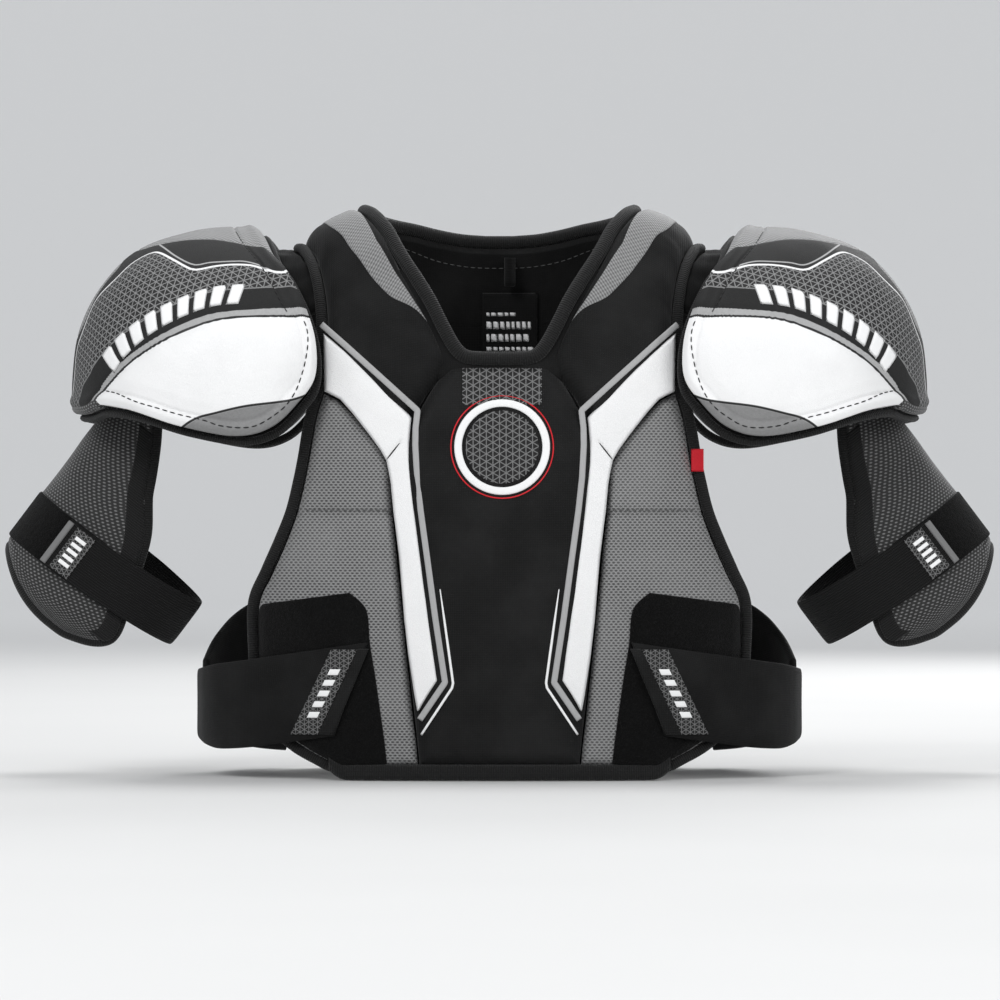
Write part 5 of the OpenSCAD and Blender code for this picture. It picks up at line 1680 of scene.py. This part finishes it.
# ribbed band along the guard's inner edge
gt = np.linspace(1.2, 10.4, 110)
gg = cr(GUARD, gt)
vv = warp(20, 0.6)[None]
bw = gg[:, 1:2] - 12.5 + 11.6 * vv
bs_ = gg[:, 0:1] * (1 - 0.1 * np.maximum(0, np.cos(np.radians(bw))) ** 2)
bdist = (1 - vv) * 12.0 + 1.0
brr = np.sqrt(np.maximum(1 - (1 - np.clip(bdist / 4.5, 0, 1)) ** 2, 0))
bed = np.minimum(bdist - 1.0, 12.0 - (bdist - 1.0))
bre = np.sqrt(np.maximum(1 - (1 - np.clip(bed / 1.6, 0, 1)) ** 2, 0)) * np.ones_like(bs_)
bre *= np.clip(np.minimum(np.arange(110), 109 - np.arange(110)) / 2, 0, 1)[:, None] ** 0.5
bo = 4.6 + 4.6 * brr + 0.35 + 0 * bs_
EB = solid(arm(bs_, bw, bo + 1.15 * bre), arm(bs_, bw, bo - 1.0), np.stack([bs_, bw * 1.05 + 0 * bs_], -1))
f = EB[1][len(EB[1]) // 4]
nn = np.cross(EB[0][f[1]] - EB[0][f[0]], EB[0][f[2]] - EB[0][f[0]])
if (nn * (EB[0][f[0]] - (ARO + ARA * 60))).sum() < 0:
    EB = (EB[0], [q[::-1] for q in EB[1]], EB[2])
# hanger band from the guard's root up towards the cap
HANG = [ARO + 8 * ARA + 45.6 * ARN, ARO - 10 * ARA + 45.6 * ARN, ARO - 28 * ARA + 45.6 * ARN, A_([247, 0, 269]), A_([259, 0, 274]), A_([263.4, 0, 284]), A_([262.2, 0, 296])]
hp = even(A_(HANG), 1.2)
hd = unit(np.gradient(hp, axis=0))
hn = np.stack([hd[:, 2], 0 * hd[:, 0], -hd[:, 0]], -1)
yy_ = 10 * np.sin(np.linspace(-np.pi / 2, np.pi / 2, 16))
tk = np.sqrt(np.maximum(1 - (np.abs(yy_) / 10) ** 6, 0))[None, :, None]
hc = hp[:, None] + yy_[None, :, None] * A_([0, 1, 0])
hl = cum(hp)
he = np.clip(np.minimum(hl, hl[-1] - hl) / 1.5, 0, 1)[:, None, None]
HG = solid(hc + hn[:, None] * tk * he, hc - hn[:, None] * tk * he, np.stack(np.broadcast_arrays(hl[:, None], yy_[None]), -1))
f = HG[1][30]

for sd, m in SIDES:
    finish_piece(make(f"{sd}_arm_guard_pad", *GO, M["dotmesh"], side=m), f"{sd}_arm_guard", (f"{sd}_arm_guard_pad", f"{sd}_arm_guard_cover"))
    finish_piece(make(f"{sd}_arm_guard_binding", *GB, M["bind"], side=m), f"{sd}_arm_guard", ())
    finish_piece(make(f"{sd}_arm_guard_edge_band", *EB, M["bind"], side=m), f"{sd}_arm_guard")
    finish_piece(make(f"{sd}_arm_loop_patch", *LPCH, M["loop"], side=m), f"{sd}_arm_guard", (f"{sd}_arm_loop_patch",))
    finish_piece(make(f"{sd}_arm_strap", *AS, M["web"], side=m), f"{sd}_arm_strap", (f"{sd}_arm_strap",))
    finish_piece(make(f"{sd}_arm_strap_label", *LBL, M["label"], side=m), f"{sd}_arm_strap", (f"{sd}_arm_strap_label",))
    finish_piece(make(f"{sd}_arm_strap_tab", *TAB, M["dgrey"], side=m), f"{sd}_arm_strap")
    finish_piece(make(f"{sd}_arm_label_bars", *LBB, M["print"], side=m), f"{sd}_arm_strap")
    h = make(f"{sd}_arm_hanger", *HG, M["web"], side=m)
    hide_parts(f"{sd}_arm_hanger")
    s_ = ARO - 20 * ARA + 45.6 * ARN
    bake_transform(h)

# ------------------------------------------------------------------ waist straps
OB = 10.3 + 0.3 + 1.5 + 0.8


def b_bot(x):
    return 47.5 + (184 - x) * 0.15 - 29.5 + np.maximum(x - 170, 0) * 0.1 + 6.5 * np.clip((x - 186) / 16.6, 0, 1) ** 2


def b_top(x):
    return 47.5 + (184 - x) * 0.15 + 28.5 - 2.5 * np.clip((x - 186) / 16.6, 0, 1) ** 2


def belly_line(k, o):
    A = []
    for p in BELLY_W:
        x = p[0] * (1 - k) + p[1] * k
        z = b_bot(p[0]) * (1 - k) + b_top(p[1]) * k
        A.append(front(A_(x), A_(z), A_(OB + o)))
    n = len(BELLY_FREE)
    B = []
    for i in range(n):
        a, b = BELLY_FREE[max(i - 1, 0)], BELLY_FREE[min(i + 1, n - 1)]
        d = unit(b - a)
        fpt = BELLY_FREE[i]
        z = b_bot(fpt[0]) * (1 - k) + b_top(fpt[0]) * k
        B.append([fpt[0] + d[1] * (o - 3), fpt[1] - d[0] * (o - 3), z])
    return np.vstack([A, B])


ks = (np.sin(np.linspace(-np.pi / 2, np.pi / 2, 40)) + 1) / 2
b0 = belly_line(0.5, 0.0)
ts = np.linspace(0, len(b0) - 1, 400)
LL = cum(cr(b0, ts))
tt = np.interp(warp(150, 0.5) * LL[-1], LL, ts)
G0 = np.stack([cr(belly_line(k, 0.0), tt) for k in ks], 1)
G1 = np.stack([cr(belly_line(k, 3.0), tt) for k in ks], 1)
Ls = np.interp(tt, ts, LL)
nb = unit(G1 - G0)
thk = np.sqrt(np.maximum(1 - np.abs(2 * ks - 1) ** 10, 0))[None]
endr = np.clip(np.minimum(Ls, LL[-1] - Ls) / 1.6, 0, 1)[:, None] ** 0.5
mid = (G0 + G1) / 2
wav = 0.25 * np.sin(Ls / 14.0)[:, None] * np.sin(ks * 3.1)[None]
zz = (2 * ks - 1)[None] * 29
BS = solid(mid + nb * (1.45 * thk * endr + wav)[..., None], mid - nb * (1.4 * thk * endr - wav)[..., None], np.stack(np.broadcast_arrays(Ls[:, None], zz), -1))
f = BS[1][len(BS[1]) // 4]
nn = np.cross(BS[0][f[1]] - BS[0][f[0]], BS[0][f[2]] - BS[0][f[0]])
if (nn * nb.reshape(-1, 3)[f[0]]).sum() < 0:
    BS = (BS[0], [q[::-1] for q in BS[1]], BS[2])


def belly_patch(x0b, x1b, x0t, x1t, z0, z1, base, th, nu_=40, nv_=30, edge_=1.4):
    k = warp(nu_, 0.8)[:, None]
    j = warp(nv_, 0.8)[None]
    x = (x0b * (1 - j) + x1b * j) * (1 - k) + (x0t * (1 - j) + x1t * j) * k
    z = z0 * (1 - k) + z1 * k + 0 * j
    P = front(x, z, base)
    a = np.concatenate([np.zeros((1, nv_)), np.cumsum(np.linalg.norm(np.diff(P, axis=0), axis=2), 0)])
    b = np.concatenate([np.zeros((nu_, 1)), np.cumsum(np.linalg.norm(np.diff(P, axis=1), axis=2), 1)], 1)
    d = np.minimum(np.minimum(a, a[-1:] - a), np.minimum(b, b[:, -1:] - b))
    r_ = np.sqrt(np.maximum(1 - (1 - np.clip(d / edge_, 0, 1)) ** 2, 0))
    g = solid(front(x, z, base + th * r_), front(x, z, base - 0.3 + 0 * x), np.stack([x, z], -1))
    f = g[1][len(g[1]) // 4]
    nn = np.cross(g[0][f[1]] - g[0][f[0]], g[0][f[2]] - g[0][f[0]])
    if nn[1] > 0:
        g = (g[0], [q[::-1] for q in g[1]], g[2])
    return g


BL = belly_patch(137, 119, 110, 92.6, 30, 86, OB + 3.2, 0.8)
BT_ = belly_patch(118.4, 108.5, 92.0, 85.2, 30.5, 86.5, OB + 3.0, 1.2)
bb = []
for i in range(5):
    k0 = 0.2 + i * 0.125
    k1 = k0 + 0.07
    xa = lambda k: 137 * (1 - k) + 110 * k
    bb.append(belly_patch(xa(k0) - 5.5, xa(k0) - 12.5, xa(k1) - 5.5, xa(k1) - 12.5, 30 + 56 * k0, 30 + 56 * k1, OB + 4.1, 0.25, 6, 8, 0.8))
BBR = join(bb)
for sd, m in SIDES:
    finish_piece(make(f"{sd}_belly_strap", *BS, M["black2"], side=m), f"{sd}_belly_strap", (f"{sd}_belly_strap",))
    finish_piece(make(f"{sd}_belly_strap_label", *BL, M["label"], side=m), f"{sd}_belly_strap", (f"{sd}_belly_strap_label",))
    finish_piece(make(f"{sd}_belly_strap_tab", *BT_, M["black"], side=m), f"{sd}_belly_strap")
    finish_piece(make(f"{sd}_belly_label_bars", *BBR, M["print"], side=m), f"{sd}_belly_strap")

# ------------------------------------------------------------------ hard parts keep their CAD shape
for n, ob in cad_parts.items():
    if not ob.hide_render:
        ob.data.materials.clear()
        ob.data.materials.append(M["plastic"] if "cap" in n or "arm" in n else M["plastic_dark"])
        for p in ob.data.polygons:
            p.material_index = 0

# ------------------------------------------------------------------ floor, light and camera
me = bpy.data.meshes.new("studio_floor")
prof = [(0.05, 0.0), (3.0, 0.0), (6.5, 0.0)] + [(6.5 + 2.4 * math.sin(a), 2.4 - 2.4 * math.cos(a)) for a in np.linspace(0.05, math.pi / 2, 20)]
ns_ = 96
vs = [(r * math.cos(2 * math.pi * k / ns_), r * math.sin(2 * math.pi * k / ns_), z) for r, z in prof for k in range(ns_)]
fs = [(i * ns_ + k, i * ns_ + (k + 1) % ns_, (i + 1) * ns_ + (k + 1) % ns_, (i + 1) * ns_ + k) for i in range(len(prof) - 1) for k in range(ns_)]
fs = [f_[::-1] for f_ in fs]
fs.append(tuple(range(ns_)))
me.from_pydata(vs, [], fs)
me.polygons.foreach_set("use_smooth", [True] * len(me.polygons))
fl = bpy.data.objects.new("studio_floor", me)
bpy.context.scene.collection.objects.link(fl)
fm = Mat("pale_floor", rough=0.85, spec=0.2)
vl = fm.new("ShaderNodeVectorMath")
vl.operation = "LENGTH"
fm.t.links.new(fm.obj(), vl.inputs[0])
# painted light: the floor colour grows paler away from the centre, standing in for the lamps' falloff so the floor
# fades into the pale backdrop
painted_far_light = fm.ramp(fm.op("MULTIPLY", vl.outputs["Value"], 0.1), 0.12, 0.6)
fm.color(fm.mix(painted_far_light, fm.mix(fm.noise(3, 2), (0.68, 0.68, 0.675, 1), (0.65, 0.65, 0.645, 1)), (0.97, 0.97, 0.965, 1)))
me.materials.append(fm.m)
fl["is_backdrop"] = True


def area(name, loc, target, size, power):
    l = bpy.data.lights.new(name, "AREA")
    l.shape = "DISK"
    l.size = size
    l.energy = power
    ob = bpy.data.objects.new(name, l)
    ob.location = loc
    ob.rotation_euler = (Vector(target) - Vector(loc)).to_track_quat("-Z", "Y").to_euler()
    bpy.context.scene.collection.objects.link(ob)


area("key", (-1.3, -2.6, 2.2), (0, 0, 0.2), 1.3, 41)
area("fill", (1.9, -2.4, 1.2), (0, 0, 0.2), 1.6, 24)
area("top", (0.0, 0.6, 2.6), (0, 0, 0.2), 1.4, 28)
area("rim", (0.9, 2.4, 1.5), (0, 0, 0.2), 1.2, 26)
w = bpy.data.worlds.new("studio")
w.use_nodes = True
w.node_tree.nodes["Background"].inputs[0].default_value = (0.9, 0.92, 0.95, 1)
w.node_tree.nodes["Background"].inputs[1].default_value = 0.63
bpy.context.scene.world = w

cam = bpy.data.cameras.new("camera")
cam.sensor_width = 36
cam.lens = 36 * 3940 / 660
cam.clip_end = 50
co = bpy.data.objects.new("camera", cam)
co.location = (0.0003, -4.0, 0.1835)
co.rotation_euler = (math.pi / 2, 0, 0)
bpy.context.scene.collection.objects.link(co)
bpy.context.scene.camera = co

bpy.context.scene.view_settings.view_transform = "Standard"
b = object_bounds()


def plain(x):
    if isinstance(x, dict):
        return {k: plain(v) for k, v in x.items()}
    if hasattr(x, "__len__") and not isinstance(x, str):
        return [plain(v) for v in x]
    return x if isinstance(x, str) else float(x)


{"cad": plain(CAD_BOX), "visual": plain(b)}
